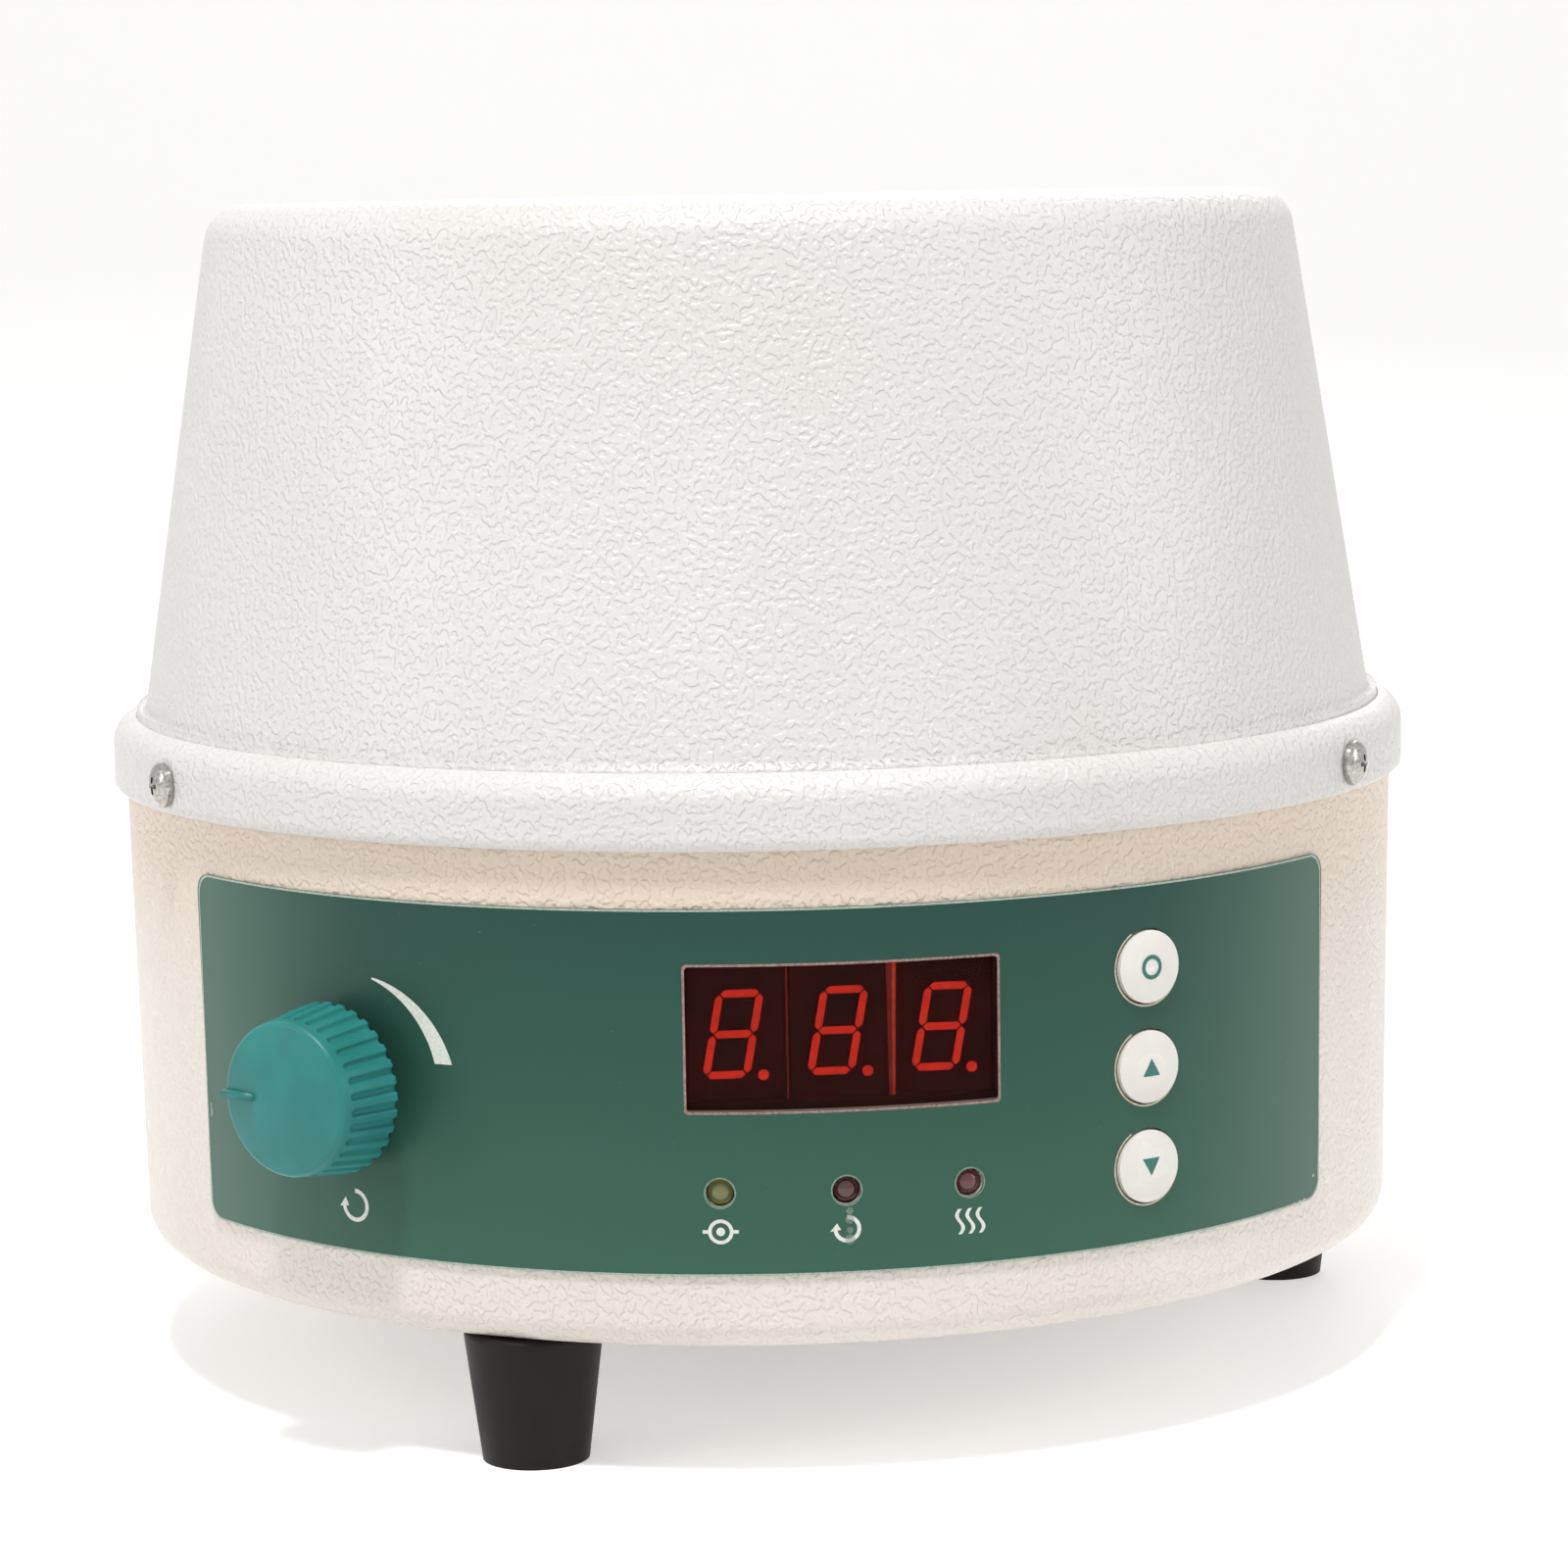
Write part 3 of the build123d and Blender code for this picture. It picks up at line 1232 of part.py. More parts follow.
# --- M3 nuts: behind the flange, under the pan's flange and behind the inlet ---
nut_seat = flat_front(casing_radius(flange_screw_z) - sheet, m3_nut[0] / sqrt(3)) - thread_gap
nut_planes = [outward(azimuth, flange_screw_z, nut_seat - m3_nut[1]) for azimuth in flange_screw_azimuths]
for spot in pan_stud_spots.locations:
    nut_planes.append(Plane(spot.position + Vector(0, 0, rim_underside - pan_wall - m3_nut[1])))
for side in (-1, 1):
    nut_planes.append(Plane((side * inlet_screw_half, pocket_face - sheet, inlet_z),
                            x_dir=(1, 0, 0), z_dir=(0, -1, 0)))
m3_nuts = copies(hex_nut(m3, m3_nut), nut_planes)
export(m3_nuts, "m3_nuts")
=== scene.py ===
# %% [markdown]
# # A heating mantle with a magnetic stirrer
# The imported model gives every rigid piece in its true place. This lesson gives each one its finish,
# and models the pieces whose look depends on detail that a CAD solid leaves out.

# %% Load the frame and keep its box
from math import atan2, cos, hypot, pi, radians, sin, sqrt

import bmesh
import bpy
from mathutils import Matrix, Vector


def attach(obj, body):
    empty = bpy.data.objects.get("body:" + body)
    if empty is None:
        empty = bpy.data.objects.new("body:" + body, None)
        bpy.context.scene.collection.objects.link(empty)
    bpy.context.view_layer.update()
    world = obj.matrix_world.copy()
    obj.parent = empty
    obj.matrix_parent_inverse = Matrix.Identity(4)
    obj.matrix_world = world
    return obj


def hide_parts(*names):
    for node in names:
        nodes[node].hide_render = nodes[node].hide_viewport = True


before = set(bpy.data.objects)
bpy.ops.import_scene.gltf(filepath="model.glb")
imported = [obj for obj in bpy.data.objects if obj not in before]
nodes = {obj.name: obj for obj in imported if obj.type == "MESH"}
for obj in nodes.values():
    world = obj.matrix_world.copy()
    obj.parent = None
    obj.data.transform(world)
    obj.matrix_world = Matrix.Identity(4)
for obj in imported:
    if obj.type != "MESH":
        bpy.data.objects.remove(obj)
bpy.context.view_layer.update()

MM = 0.001
print("CAD nodes:", len(nodes))

# %% [markdown]
# ## Small helpers
# Colours are written as sRGB hex values, as a paint maker gives them, and Cycles works in linear
# light, so one function converts them. Another adds a shader or geometry node in one line.

# %% Colour and node helpers
def paint(hex_colour):
    """Linear RGBA from an sRGB hex value."""
    channels = [int(hex_colour[i:i + 2], 16) / 255 for i in (1, 3, 5)]
    return (*[c / 12.92 if c <= 0.04045 else ((c + 0.055) / 1.055) ** 2.4 for c in channels], 1.0)


def add_node(tree, kind, links=None, **settings):
    """Adds one node, sets its properties, and fills its inputs with values or links."""
    made = tree.nodes.new(kind)
    for name, value in settings.items():
        setattr(made, name, value)
    for socket, value in (links or {}).items():
        if isinstance(value, bpy.types.NodeSocket):
            tree.links.new(value, made.inputs[socket])
        else:
            made.inputs[socket].default_value = value
    return made


def new_finish(name, colour, roughness, metallic=0.0, **sockets):
    """A named material with a Principled shader. Returns the material, its tree and its shader."""
    material = bpy.data.materials.new(name)
    material.use_nodes = True
    tree = material.node_tree
    shader = tree.nodes["Principled BSDF"]
    shader.inputs["Base Color"].default_value = paint(colour)
    shader.inputs["Roughness"].default_value = roughness
    shader.inputs["Metallic"].default_value = metallic
    for socket, value in sockets.items():
        shader.inputs[socket.replace("_", " ")].default_value = value
    material.diffuse_color = paint(colour)
    return material, tree, shader


def noise(tree, size_mm, detail=2.0, rough=0.5, stretch=(1, 1, 1)):
    """Noise on the object's own coordinates, with grains of about size_mm."""
    place = add_node(tree, "ShaderNodeTexCoord")
    scaled = add_node(tree, "ShaderNodeMapping", {"Vector": place.outputs["Object"], "Scale": stretch})
    return add_node(tree, "ShaderNodeTexNoise",
                    {"Vector": scaled.outputs["Vector"], "Scale": 1 / (size_mm * MM),
                     "Detail": detail, "Roughness": rough})


def mottled(tree, shader, fac, dark, light, low=0.35, high=0.65):
    """Base colour that drifts between two shades. A colour Mix has them in sockets 6 and 7."""
    ramp = add_node(tree, "ShaderNodeMapRange",
                    {"Value": fac, "From Min": low, "From Max": high})
    mix = add_node(tree, "ShaderNodeMix", {"Factor": ramp.outputs["Result"]}, data_type="RGBA")
    mix.inputs[6].default_value = paint(dark)
    mix.inputs[7].default_value = paint(light)
    tree.links.new(mix.outputs[2], shader.inputs["Base Color"])
    return mix


def roughened(tree, shader, fac, low, high):
    """Roughness that drifts between two values."""
    ramp = add_node(tree, "ShaderNodeMapRange", {"Value": fac, "From Min": 0.3, "From Max": 0.7,
                                                 "To Min": low, "To Max": high})
    tree.links.new(ramp.outputs["Result"], shader.inputs["Roughness"])


def bumped(tree, shader, height, depth_mm, strength=1.0):
    """Bump with a real depth."""
    bump = add_node(tree, "ShaderNodeBump",
                    {"Height": height, "Distance": depth_mm * MM, "Strength": strength})
    tree.links.new(bump.outputs["Normal"], shader.inputs["Normal"])


print("helpers ready")

# %% [markdown]
# ## Powder coat
# Both casings are spun steel with a textured polyester powder coat. The powder melts into rounded
# grains about a millimetre across, so the finish is satin with many small glints. Noise gives the
# grains, through bump, and a much larger noise lets the shade drift a little, as a real coat does.
# Just below the flange the cream coat is painted warmer and darker: painted shade of the flange over the
# seam.

# %% Powder coat, white on the upper shell and cream on the lower casing
seam_shade_from, seam_shade_to = 0.055, 0.089


def powder_coat(name, light, dark, seam_shade_colour=None):
    material, tree, shader = new_finish(name, light, 0.36, Specular_IOR_Level=0.55)
    grain = noise(tree, 0.95, detail=0.8, rough=0.4)
    fine = noise(tree, 0.5, detail=1.0)
    drift = noise(tree, 60, detail=2.0)
    coat = mottled(tree, shader, drift.outputs["Fac"], dark, light)
    # Painted shade: towards the seam, under the flange, the cream coat is mixed toward a darker, warmer
    # colour.
    if seam_shade_colour:
        place = add_node(tree, "ShaderNodeTexCoord")
        xyz = add_node(tree, "ShaderNodeSeparateXYZ", {"Vector": place.outputs["Object"]})
        near = add_node(tree, "ShaderNodeMapRange", {"Value": xyz.outputs["Z"], "From Min": seam_shade_from,
                                                     "From Max": seam_shade_to}, interpolation_type="SMOOTHSTEP")
        seam_shaded = add_node(tree, "ShaderNodeMix", {"Factor": near.outputs["Result"],
                                                  6: coat.outputs[2]}, data_type="RGBA")
        seam_shaded.inputs[7].default_value = paint(seam_shade_colour)
        tree.links.new(seam_shaded.outputs[2], shader.inputs["Base Color"])
    pits = add_node(tree, "ShaderNodeMapRange", {"Value": grain.outputs["Fac"], "From Min": 0.38,
                                                 "From Max": 0.6}, interpolation_type="SMOOTHSTEP")
    both = add_node(tree, "ShaderNodeMath", {0: fine.outputs["Fac"], 1: 0.12,
                                             2: pits.outputs["Result"]}, operation="MULTIPLY_ADD")
    bumped(tree, shader, both.outputs["Value"], 0.13)
    roughened(tree, shader, grain.outputs["Fac"], 0.3, 0.46)
    return material


coat_white = powder_coat("powder_coat_white", "#e6e5e4", "#e1dfdd")
coat_cream = powder_coat("powder_coat_cream", "#f0e9e3", "#eae2da", seam_shade_colour="#ead9c7")
print("powder coats:", coat_white.name, coat_cream.name)

# %% [markdown]
# ## Printed film
# The control label is a polyester film, printed on its back in dark teal and stuck round the casing.
# Its colour is a little lighter towards the bottom, and towards both ends it is painted paler: a painted
# sheen where the film curves away from the front. Dust shows as pale specks. The end-to-end sheen
# follows the azimuth, which Arctan2 works out from the object coordinates.

# %% Printed teal film
film_low, film_high = 0.030, 0.081
end_sheen_from, end_sheen_to = radians(32), radians(56)


def printed_film():
    material, tree, shader = new_finish("printed_polyester_film", "#37635a", 0.3, Specular_IOR_Level=0.22)
    place = add_node(tree, "ShaderNodeTexCoord")
    xyz = add_node(tree, "ShaderNodeSeparateXYZ", {"Vector": place.outputs["Object"]})
    back = add_node(tree, "ShaderNodeMath", {0: xyz.outputs["Y"], 1: -1.0}, operation="MULTIPLY")
    azimuth = add_node(tree, "ShaderNodeMath", {0: xyz.outputs["X"], 1: back.outputs["Value"]},
                       operation="ARCTAN2")
    away = add_node(tree, "ShaderNodeMath", {0: azimuth.outputs["Value"]}, operation="ABSOLUTE")
    # Painted sheen: the film is mixed toward a paler teal towards both ends, where it curves away from the
    # front.
    ends = add_node(tree, "ShaderNodeMapRange", {"Value": away.outputs["Value"],
                                                 "From Min": end_sheen_from, "From Max": end_sheen_to},
                    interpolation_type="SMOOTHSTEP")
    rise = add_node(tree, "ShaderNodeMapRange", {"Value": xyz.outputs["Z"], "From Min": film_low,
                                                 "From Max": film_high})
    upright = add_node(tree, "ShaderNodeMix", {"Factor": rise.outputs["Result"]}, data_type="RGBA")
    upright.inputs[6].default_value = paint("#376353")
    upright.inputs[7].default_value = paint("#234b42")
    with_end_sheen = add_node(tree, "ShaderNodeMix", {"Factor": ends.outputs["Result"],
                                                6: upright.outputs[2]}, data_type="RGBA")
    with_end_sheen.inputs[7].default_value = paint("#4a6c60")
    dust = noise(tree, 0.55, detail=3.0, rough=0.7)
    speck = add_node(tree, "ShaderNodeMapRange", {"Value": dust.outputs["Fac"], "From Min": 0.735,
                                                  "From Max": 0.79})
    dusty = add_node(tree, "ShaderNodeMix", {"Factor": speck.outputs["Result"],
                                             6: with_end_sheen.outputs[2]}, data_type="RGBA")
    dusty.inputs[7].default_value = paint("#8fa89c")
    tree.links.new(dusty.outputs[2], shader.inputs["Base Color"])
    matte = noise(tree, 0.25, detail=2.0)
    roughened(tree, shader, matte.outputs["Fac"], 0.3, 0.42)
    bumped(tree, shader, matte.outputs["Fac"], 0.008)
    return material


film_teal = printed_film()
print("film:", film_teal.name)

# %% [markdown]
# ## Inks and trims
# The markings are screen-printed white ink, slightly uneven at their edges. Round the film's edge,
# the window and the lamp holes the cut film shows its clear thickness as a thin pale line.

# %% White ink, teal ink and cut edges
def ink(name, light, dark, roughness=0.5):
    material, tree, shader = new_finish(name, light, roughness)
    grain = noise(tree, 0.4, detail=3.0)
    mottled(tree, shader, grain.outputs["Fac"], dark, light)
    roughened(tree, shader, grain.outputs["Fac"], roughness - 0.06, roughness + 0.08)
    return material


ink_white = ink("screen_ink_white", "#eef1ea", "#d9e0d7")
ink_teal = ink("screen_ink_teal", "#2f7a70", "#276a61")
edge_pale = ink("cut_film_edge_pale", "#b9c2b6", "#93a598", 0.35)
edge_cream = ink("adhesive_edge_cream", "#d8cdb4", "#b5a98c", 0.4)
edge_pink = ink("cut_window_edge", "#a98f86", "#7d5f57", 0.35)
edge_green = ink("cut_lamp_edge", "#7f9d8e", "#5f8072", 0.35)
print("inks and edges ready")

# %% [markdown]
# ## Moulded plastics
# The knob is injection-moulded ABS in teal, satin from a spark-eroded mould. The key caps are glossy
# white ABS. Moulded faces are never quite even, so each gets a faint, slow drift of shade and gloss as
# well as grain.

# %% Knob, key, switch and black plastics
def moulded(name, light, dark, roughness, grain_mm=0.35, depth_mm=0.012, **sockets):
    material, tree, shader = new_finish(name, light, roughness, **sockets)
    grain = noise(tree, grain_mm, detail=2.0)
    drift = noise(tree, 9, detail=2.0)
    mottled(tree, shader, drift.outputs["Fac"], dark, light)
    roughened(tree, shader, drift.outputs["Fac"], roughness - 0.05, roughness + 0.06)
    bumped(tree, shader, grain.outputs["Fac"], depth_mm)
    return material


abs_teal = moulded("moulded_abs_teal", "#2a8784", "#247c78", 0.38, Specular_IOR_Level=0.35)
abs_white = moulded("moulded_abs_white", "#f0eeea", "#e9e5df", 0.24, grain_mm=1.5, depth_mm=0.006)
plastic_black = moulded("moulded_nylon_black", "#1d1d1f", "#161618", 0.45)
rubber_black = moulded("moulded_rubber_black", "#150f0d", "#0e0a09", 0.5, grain_mm=0.9, depth_mm=0.02,
                       Specular_IOR_Level=0.22)
module_black = moulded("moulded_display_black", "#2c0604", "#210403", 0.7, depth_mm=0.0005,
                       Specular_IOR_Level=0.05)
print("plastics ready")

# %% [markdown]
# ## Display filter and lamps
# The window is dark red acrylic. It passes the light of the segments and swallows the rest. Alpha is
# used for it, because that survives an export, and the segments behind carry a weak glow of their own.

# %% Red filter, segments and lamp lenses
filter_red, filter_tree, filter_shader = new_finish("cast_acrylic_red", "#2e0503", 0.12, Alpha=0.35,
                                                    Specular_IOR_Level=0.1)
filter_cloud = noise(filter_tree, 7, detail=2.0)
mottled(filter_tree, filter_shader, filter_cloud.outputs["Fac"], "#260302", "#3a0805")
roughened(filter_tree, filter_shader, filter_cloud.outputs["Fac"], 0.1, 0.2)
bumped(filter_tree, filter_shader, filter_cloud.outputs["Fac"], 0.01)


def glowing(name, light, dark, strength, roughness=0.4):
    material, tree, shader = new_finish(name, light, roughness, Emission_Strength=strength)
    cloud = noise(tree, 1.2, detail=2.0)
    mix = mottled(tree, shader, cloud.outputs["Fac"], dark, light)
    tree.links.new(mix.outputs[2], shader.inputs["Emission Color"])
    return material


segment_red = glowing("diffused_segment_red", "#ee2a10", "#d4200b", 1.1)
gap_red = glowing("module_gap_red", "#8a180a", "#6c1107", 0.6)
gap_orange = glowing("module_gap_orange", "#e8452a", "#c83418", 1.1)
lens_green = moulded("cast_epoxy_green", "#6f7434", "#5c6128", 0.16, grain_mm=1.0, Coat_Weight=0.6)
lens_red = moulded("cast_epoxy_red", "#571813", "#450f0c", 0.16, grain_mm=1.0, Coat_Weight=0.6)
print("filter and lenses ready")

# %% [markdown]
# ## Metals
# Screws are bright chromium plate, brackets zinc-plated steel, the heating pan spun aluminium, the
# pins and shaft brass and steel. A metal keeps the default IOR and gets its look from its colour,
# its roughness and the direction of its scratches.

# %% Metals
def metal(name, light, dark, roughness, stretch=(1, 1, 1), grain_mm=0.5, depth_mm=0.004):
    material, tree, shader = new_finish(name, light, roughness, metallic=1.0)
    grain = noise(tree, grain_mm, detail=4.0, rough=0.6, stretch=stretch)
    mottled(tree, shader, grain.outputs["Fac"], dark, light)
    roughened(tree, shader, grain.outputs["Fac"], max(roughness - 0.06, 0.04), roughness + 0.1)
    bumped(tree, shader, grain.outputs["Fac"], depth_mm)
    return material


chrome = metal("chromium_plate", "#b9b7b4", "#97948f", 0.16)
zinc = metal("zinc_plated_steel", "#c2c6c9", "#a4a9ad", 0.3, grain_mm=2.0)
aluminium = metal("spun_aluminium", "#cfd1d2", "#b4b7b9", 0.32, stretch=(1, 1, 14), grain_mm=3.0)
steel = metal("ground_steel", "#b9bbbd", "#9ea1a4", 0.24, stretch=(1, 1, 8))
brass = metal("turned_brass", "#cfae63", "#b6924a", 0.28)
nickel_plate = metal("nickel_plate", "#c9c5bc", "#aea99e", 0.2)
resistance_wire = metal("oxidised_nickel_chrome", "#6d665e", "#4f4943", 0.5)
copper_wire = metal("enamelled_copper", "#b2622f", "#8b451c", 0.35, grain_mm=0.4, depth_mm=0.05)
print("metals ready")

# %% [markdown]
# ## Woven glass, wool, boards and the rest
# The heating bowl is knitted from glass-fibre yarn, off-white with the odd heat-browned place. The
# insulation behind it is mineral wool. Circuit boards are green solder mask over a glass laminate.

# %% Fibres, boards and ceramics
def fibre(name, light, dark, grain_mm, depth_mm, sheen):
    material, tree, shader = new_finish(name, light, 0.82, Sheen_Weight=sheen, Sheen_Roughness=0.5)
    strands = noise(tree, grain_mm, detail=4.0, rough=0.65)
    drift = noise(tree, 25, detail=2.0)
    mottled(tree, shader, drift.outputs["Fac"], dark, light)
    bumped(tree, shader, strands.outputs["Fac"], depth_mm)
    return material


glass_yarn = fibre("knitted_glass_fibre", "#e8e3d6", "#d6cebb", 0.5, 0.12, 0.3)
glass_base = fibre("glass_fibre_lining", "#c9c2b0", "#b3aa95", 0.6, 0.15, 0.2)
mineral_wool = fibre("mineral_wool", "#cbbf8f", "#b3a672", 0.8, 0.5, 0.3)
board_green = moulded("solder_mask_green", "#1f5c36", "#194d2d", 0.35, grain_mm=0.8)
parts_mixed = moulded("component_bodies", "#2b2c30", "#1f2023", 0.4)
ferrite = moulded("sintered_ferrite", "#3b3a3c", "#2d2c2e", 0.6, grain_mm=0.6, depth_mm=0.03)
core_steel = metal("laminated_core_steel", "#7c7f82", "#5c5f62", 0.45, stretch=(1, 1, 10), grain_mm=1.2)
tube_glass = moulded("fuse_tube_glass", "#cfd6d2", "#bcc5c0", 0.08, Alpha=0.55)
print("fibres and boards ready")

# %% [markdown]
# ## Finishes for the CAD nodes
# A CAD node whose shape is right keeps it, and only its material slot is filled. One table says
# which piece has which finish.

# %% Fill the material slots of every CAD node
finishes = {
    coat_white: ("upper_shell",),
    coat_cream: ("lower_casing",),
    film_teal: ("control_label",),
    filter_red: ("display_window",),
    module_black: ("digit_module_left", "digit_module_middle", "digit_module_right"),
    lens_green: ("set_lamp",),
    lens_red: ("stir_lamp", "heat_lamp"),
    abs_white: ("select_button", "raise_button", "lower_button"),
    abs_teal: ("speed_knob",),
    rubber_black: ("foot_front", "foot_right", "foot_rear"),
    chrome: ("flange_screws", "inlet_screws"),
    zinc: ("floor_screws", "foot_screws", "foot_nuts", "inner_screws", "m3_nuts", "motor_bracket",
           "display_bracket", "button_bracket", "heat_shield", "motor_can", "potentiometer_nut"),
    aluminium: ("mantle_pan", "magnet_carrier", "potentiometer_body"),
    steel: ("motor_shaft", "potentiometer_shaft", "temperature_probe", "motor_bearings"),
    brass: ("board_spacers", "motor_end_cap"),
    nickel_plate: ("inlet_pins",),
    resistance_wire: ("heating_element",),
    copper_wire: ("transformer_winding", "motor_armature"),
    glass_base: ("woven_bowl",),
    mineral_wool: ("mantle_insulation",),
    board_green: ("display_board", "button_board", "main_board"),
    parts_mixed: ("board_components", "button_switches"),
    ferrite: ("stator_magnets", "stir_magnets"),
    core_steel: ("transformer_core",),
    plastic_black: ("power_inlet", "power_rocker", "switch_body", "fuse_holder", "fuse_cap",
                    "fuse_nut"),
    tube_glass: ("fuse",),
}
finished = set()
for material, names in finishes.items():
    for name in names:
        nodes[name].data.materials.clear()
        nodes[name].data.materials.append(material)
        finished.add(name)
print("nodes without a finish:", sorted(set(nodes) - finished))

# %% [markdown]
# ## The body's own rule
# The lower casing widens a little from its floor to the seam, so every printed mark is placed by an
# azimuth and a height, and its distance from the axis follows from the same rule.

# %% Sizes in millimetres, and places on the casing
foot_height = 19.0
base_radius, seam_radius, seam_height = 97.0, 98.1, 70.1
film = 0.4
ink_lift, edge_lift = 0.03, 0.02


def casing_radius(z):
    return base_radius + (seam_radius - base_radius) * (z - foot_height) / seam_height


def facing(azimuth, z, reach):
    """Matrix from a flat place, x to the right and z outwards, to that azimuth on the body."""
    turn = radians(azimuth)
    out = Vector((sin(turn), -cos(turn), 0))
    side = Vector((cos(turn), sin(turn), 0))
    spot = out * reach + Vector((0, 0, z))
    axes = Matrix((side, (0, 0, 1), out)).transposed().to_4x4()
    return Matrix.Scale(MM, 4) @ Matrix.Translation(spot) @ axes


def on_film(azimuth, x, z, lift=ink_lift):
    """Point on the film, x mm along its curve from an azimuth."""
    reach = casing_radius(z) + film
    turn = radians(azimuth) + x / reach
    reach += lift
    return Vector((reach * sin(turn), -reach * cos(turn), z)) * MM


def add_piece(name, verts, faces, material, body, slot, smooth=True):
    """Plain mesh object that rides on a body."""
    mesh = bpy.data.meshes.new(name)
    mesh.from_pydata([tuple(v) for v in verts], [], faces)
    mesh.materials.append(material)
    mesh.polygons.foreach_set("use_smooth", [smooth] * len(mesh.polygons))
    mesh.validate()
    piece = bpy.data.objects.new(name, mesh)
    bpy.context.scene.collection.objects.link(piece)
    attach(piece, body)
    return piece


print("casing radius at the label's middle:", round(casing_radius(55), 2), "mm")

# %% [markdown]
# ## The upper shell
# It is one spun sheet: a straight flange that slips over the lower casing, a rounded shoulder, a
# tight foot, the cone, a rounded rim and a mouth whose lip turns down. A lathe is the tool for that.
# The section is drawn once as a line with arcs and turned in 360 steps, so the outline stays round.

# %% Turn the upper shell's section
def arc(centre, radius, start, end, steps):
    """Points on an arc, in degrees from the outward direction."""
    return [(centre[0] + radius * cos(radians(start + (end - start) * i / steps)),
             centre[1] + radius * sin(radians(start + (end - start) * i / steps)))
            for i in range(steps + 1)]


def lathe(section, turns=360, closed=False):
    """Vertices and outward faces of a section turned round the vertical axis."""
    verts, faces = [], []
    count = len(section)
    for i in range(turns):
        turn = 2 * pi * i / turns
        verts += [Vector((r * sin(turn), -r * cos(turn), z)) * MM for r, z in section]
    for i in range(turns):
        here, after = i * count, (i + 1) % turns * count
        for j in range(count if closed else count - 1):
            k = (j + 1) % count
            faces.append((here + j, after + j, after + k, here + k))
    return verts, faces


seam_z, shoulder_z, top_z = 89.1, 99.5, 176.9
sheet, flange_radius, shoulder_corner = 1.2, 99.96, 4.0
cone_foot, cone_foot_corner = 94.8, 1.6
rim_radius, rim_corner, mouth_radius, mouth_corner, lip_depth = 82.8, 6.0, 59.0, 3.0, 7.0
lean = atan2(cone_foot - rim_radius, top_z - shoulder_z)
lean_deg = lean * 180 / pi
edge_round, flange_straight = 0.3, 6.1

rim_centre = (rim_radius - rim_corner * (1 - sin(lean)) / cos(lean), top_z - rim_corner)
foot_centre = (cone_foot + cone_foot_corner, shoulder_z + cone_foot_corner)
outer = [(flange_radius - edge_round, seam_z), (flange_radius, seam_z + edge_round)]
outer += [(flange_radius, seam_z + edge_round + (flange_straight - edge_round) * i / 4)
          for i in range(1, 4)]
outer += arc((flange_radius - shoulder_corner, shoulder_z - shoulder_corner), shoulder_corner, 0, 90, 14)
outer += arc(foot_centre, cone_foot_corner, 270, 180 + lean_deg, 8)
cone_top = (rim_centre[0] + rim_corner * cos(lean), rim_centre[1] + rim_corner * sin(lean))
outer += [(outer[-1][0] + (cone_top[0] - outer[-1][0]) * i / 16,
           outer[-1][1] + (cone_top[1] - outer[-1][1]) * i / 16) for i in range(1, 16)]
outer += arc(rim_centre, rim_corner, lean_deg, 90, 14)
outer += [(rim_centre[0] + (mouth_radius + mouth_corner - rim_centre[0]) * i / 5, top_z)
          for i in range(1, 5)]
outer += arc((mouth_radius + mouth_corner, top_z - mouth_corner), mouth_corner, 90, 180, 12)
outer += [(mouth_radius, top_z - lip_depth)]
print("section points:", len(outer))

# %% Give the section its sheet thickness and turn it
def inset(points, gap):
    """The same line, moved to its right by gap, which is inwards here."""
    moved = []
    for i, (r, z) in enumerate(points):
        before, after = points[max(i - 1, 0)], points[min(i + 1, len(points) - 1)]
        dr, dz = after[0] - before[0], after[1] - before[1]
        size = hypot(dr, dz)
        moved.append((r - gap * dz / size, z + gap * dr / size))
    return moved


section = outer + [(r, z) for r, z in reversed(inset(outer[1:], sheet))]
shell_verts, shell_faces = lathe(section, closed=True)
upper_piece = add_piece("upper_shell_spun", shell_verts, shell_faces, coat_white, "housing",
                        "powder_coat")
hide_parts("upper_shell")
print("upper shell faces:", len(shell_faces))

# %% [markdown]
# ## Marks on the film
# Each mark is a ribbon between two lines, given in millimetres along and up the film, and laid on
# the curve point by point. A ring, an arc, a bar and a triangle are all ribbons.

# %% Ribbons on the film
def ribbon_mesh(azimuth, ribbons, lift=ink_lift):
    """Vertices and faces of ribbons, each a pair of equally long point lists."""
    verts, faces = [], []
    for left, right in ribbons:
        start = len(verts)
        for a, b in zip(left, right):
            verts += [on_film(azimuth, *a, lift), on_film(azimuth, *b, lift)]
        for i in range(len(left) - 1):
            k = start + 2 * i
            faces.append((k, k + 1, k + 3, k + 2))
    return verts, faces


def circle_points(x, z, radius, start, end, steps):
    """Points on a circle, in degrees clockwise from the top."""
    return [(x + radius * sin(radians(start + (end - start) * i / steps)),
             z + radius * cos(radians(start + (end - start) * i / steps)))
            for i in range(steps + 1)]


def ring(x, z, inside, outside, start=0, end=360, steps=48):
    return (circle_points(x, z, outside, start, end, steps),
            circle_points(x, z, inside, start, end, steps))


def bar(x0, z0, x1, z1, width, steps=6):
    size = hypot(x1 - x0, z1 - z0)
    nx, nz = -(z1 - z0) / size * width / 2, (x1 - x0) / size * width / 2
    line = [(x0 + (x1 - x0) * i / steps, z0 + (z1 - z0) * i / steps) for i in range(steps + 1)]
    return ([(x + nx, z + nz) for x, z in line], [(x - nx, z - nz) for x, z in line])


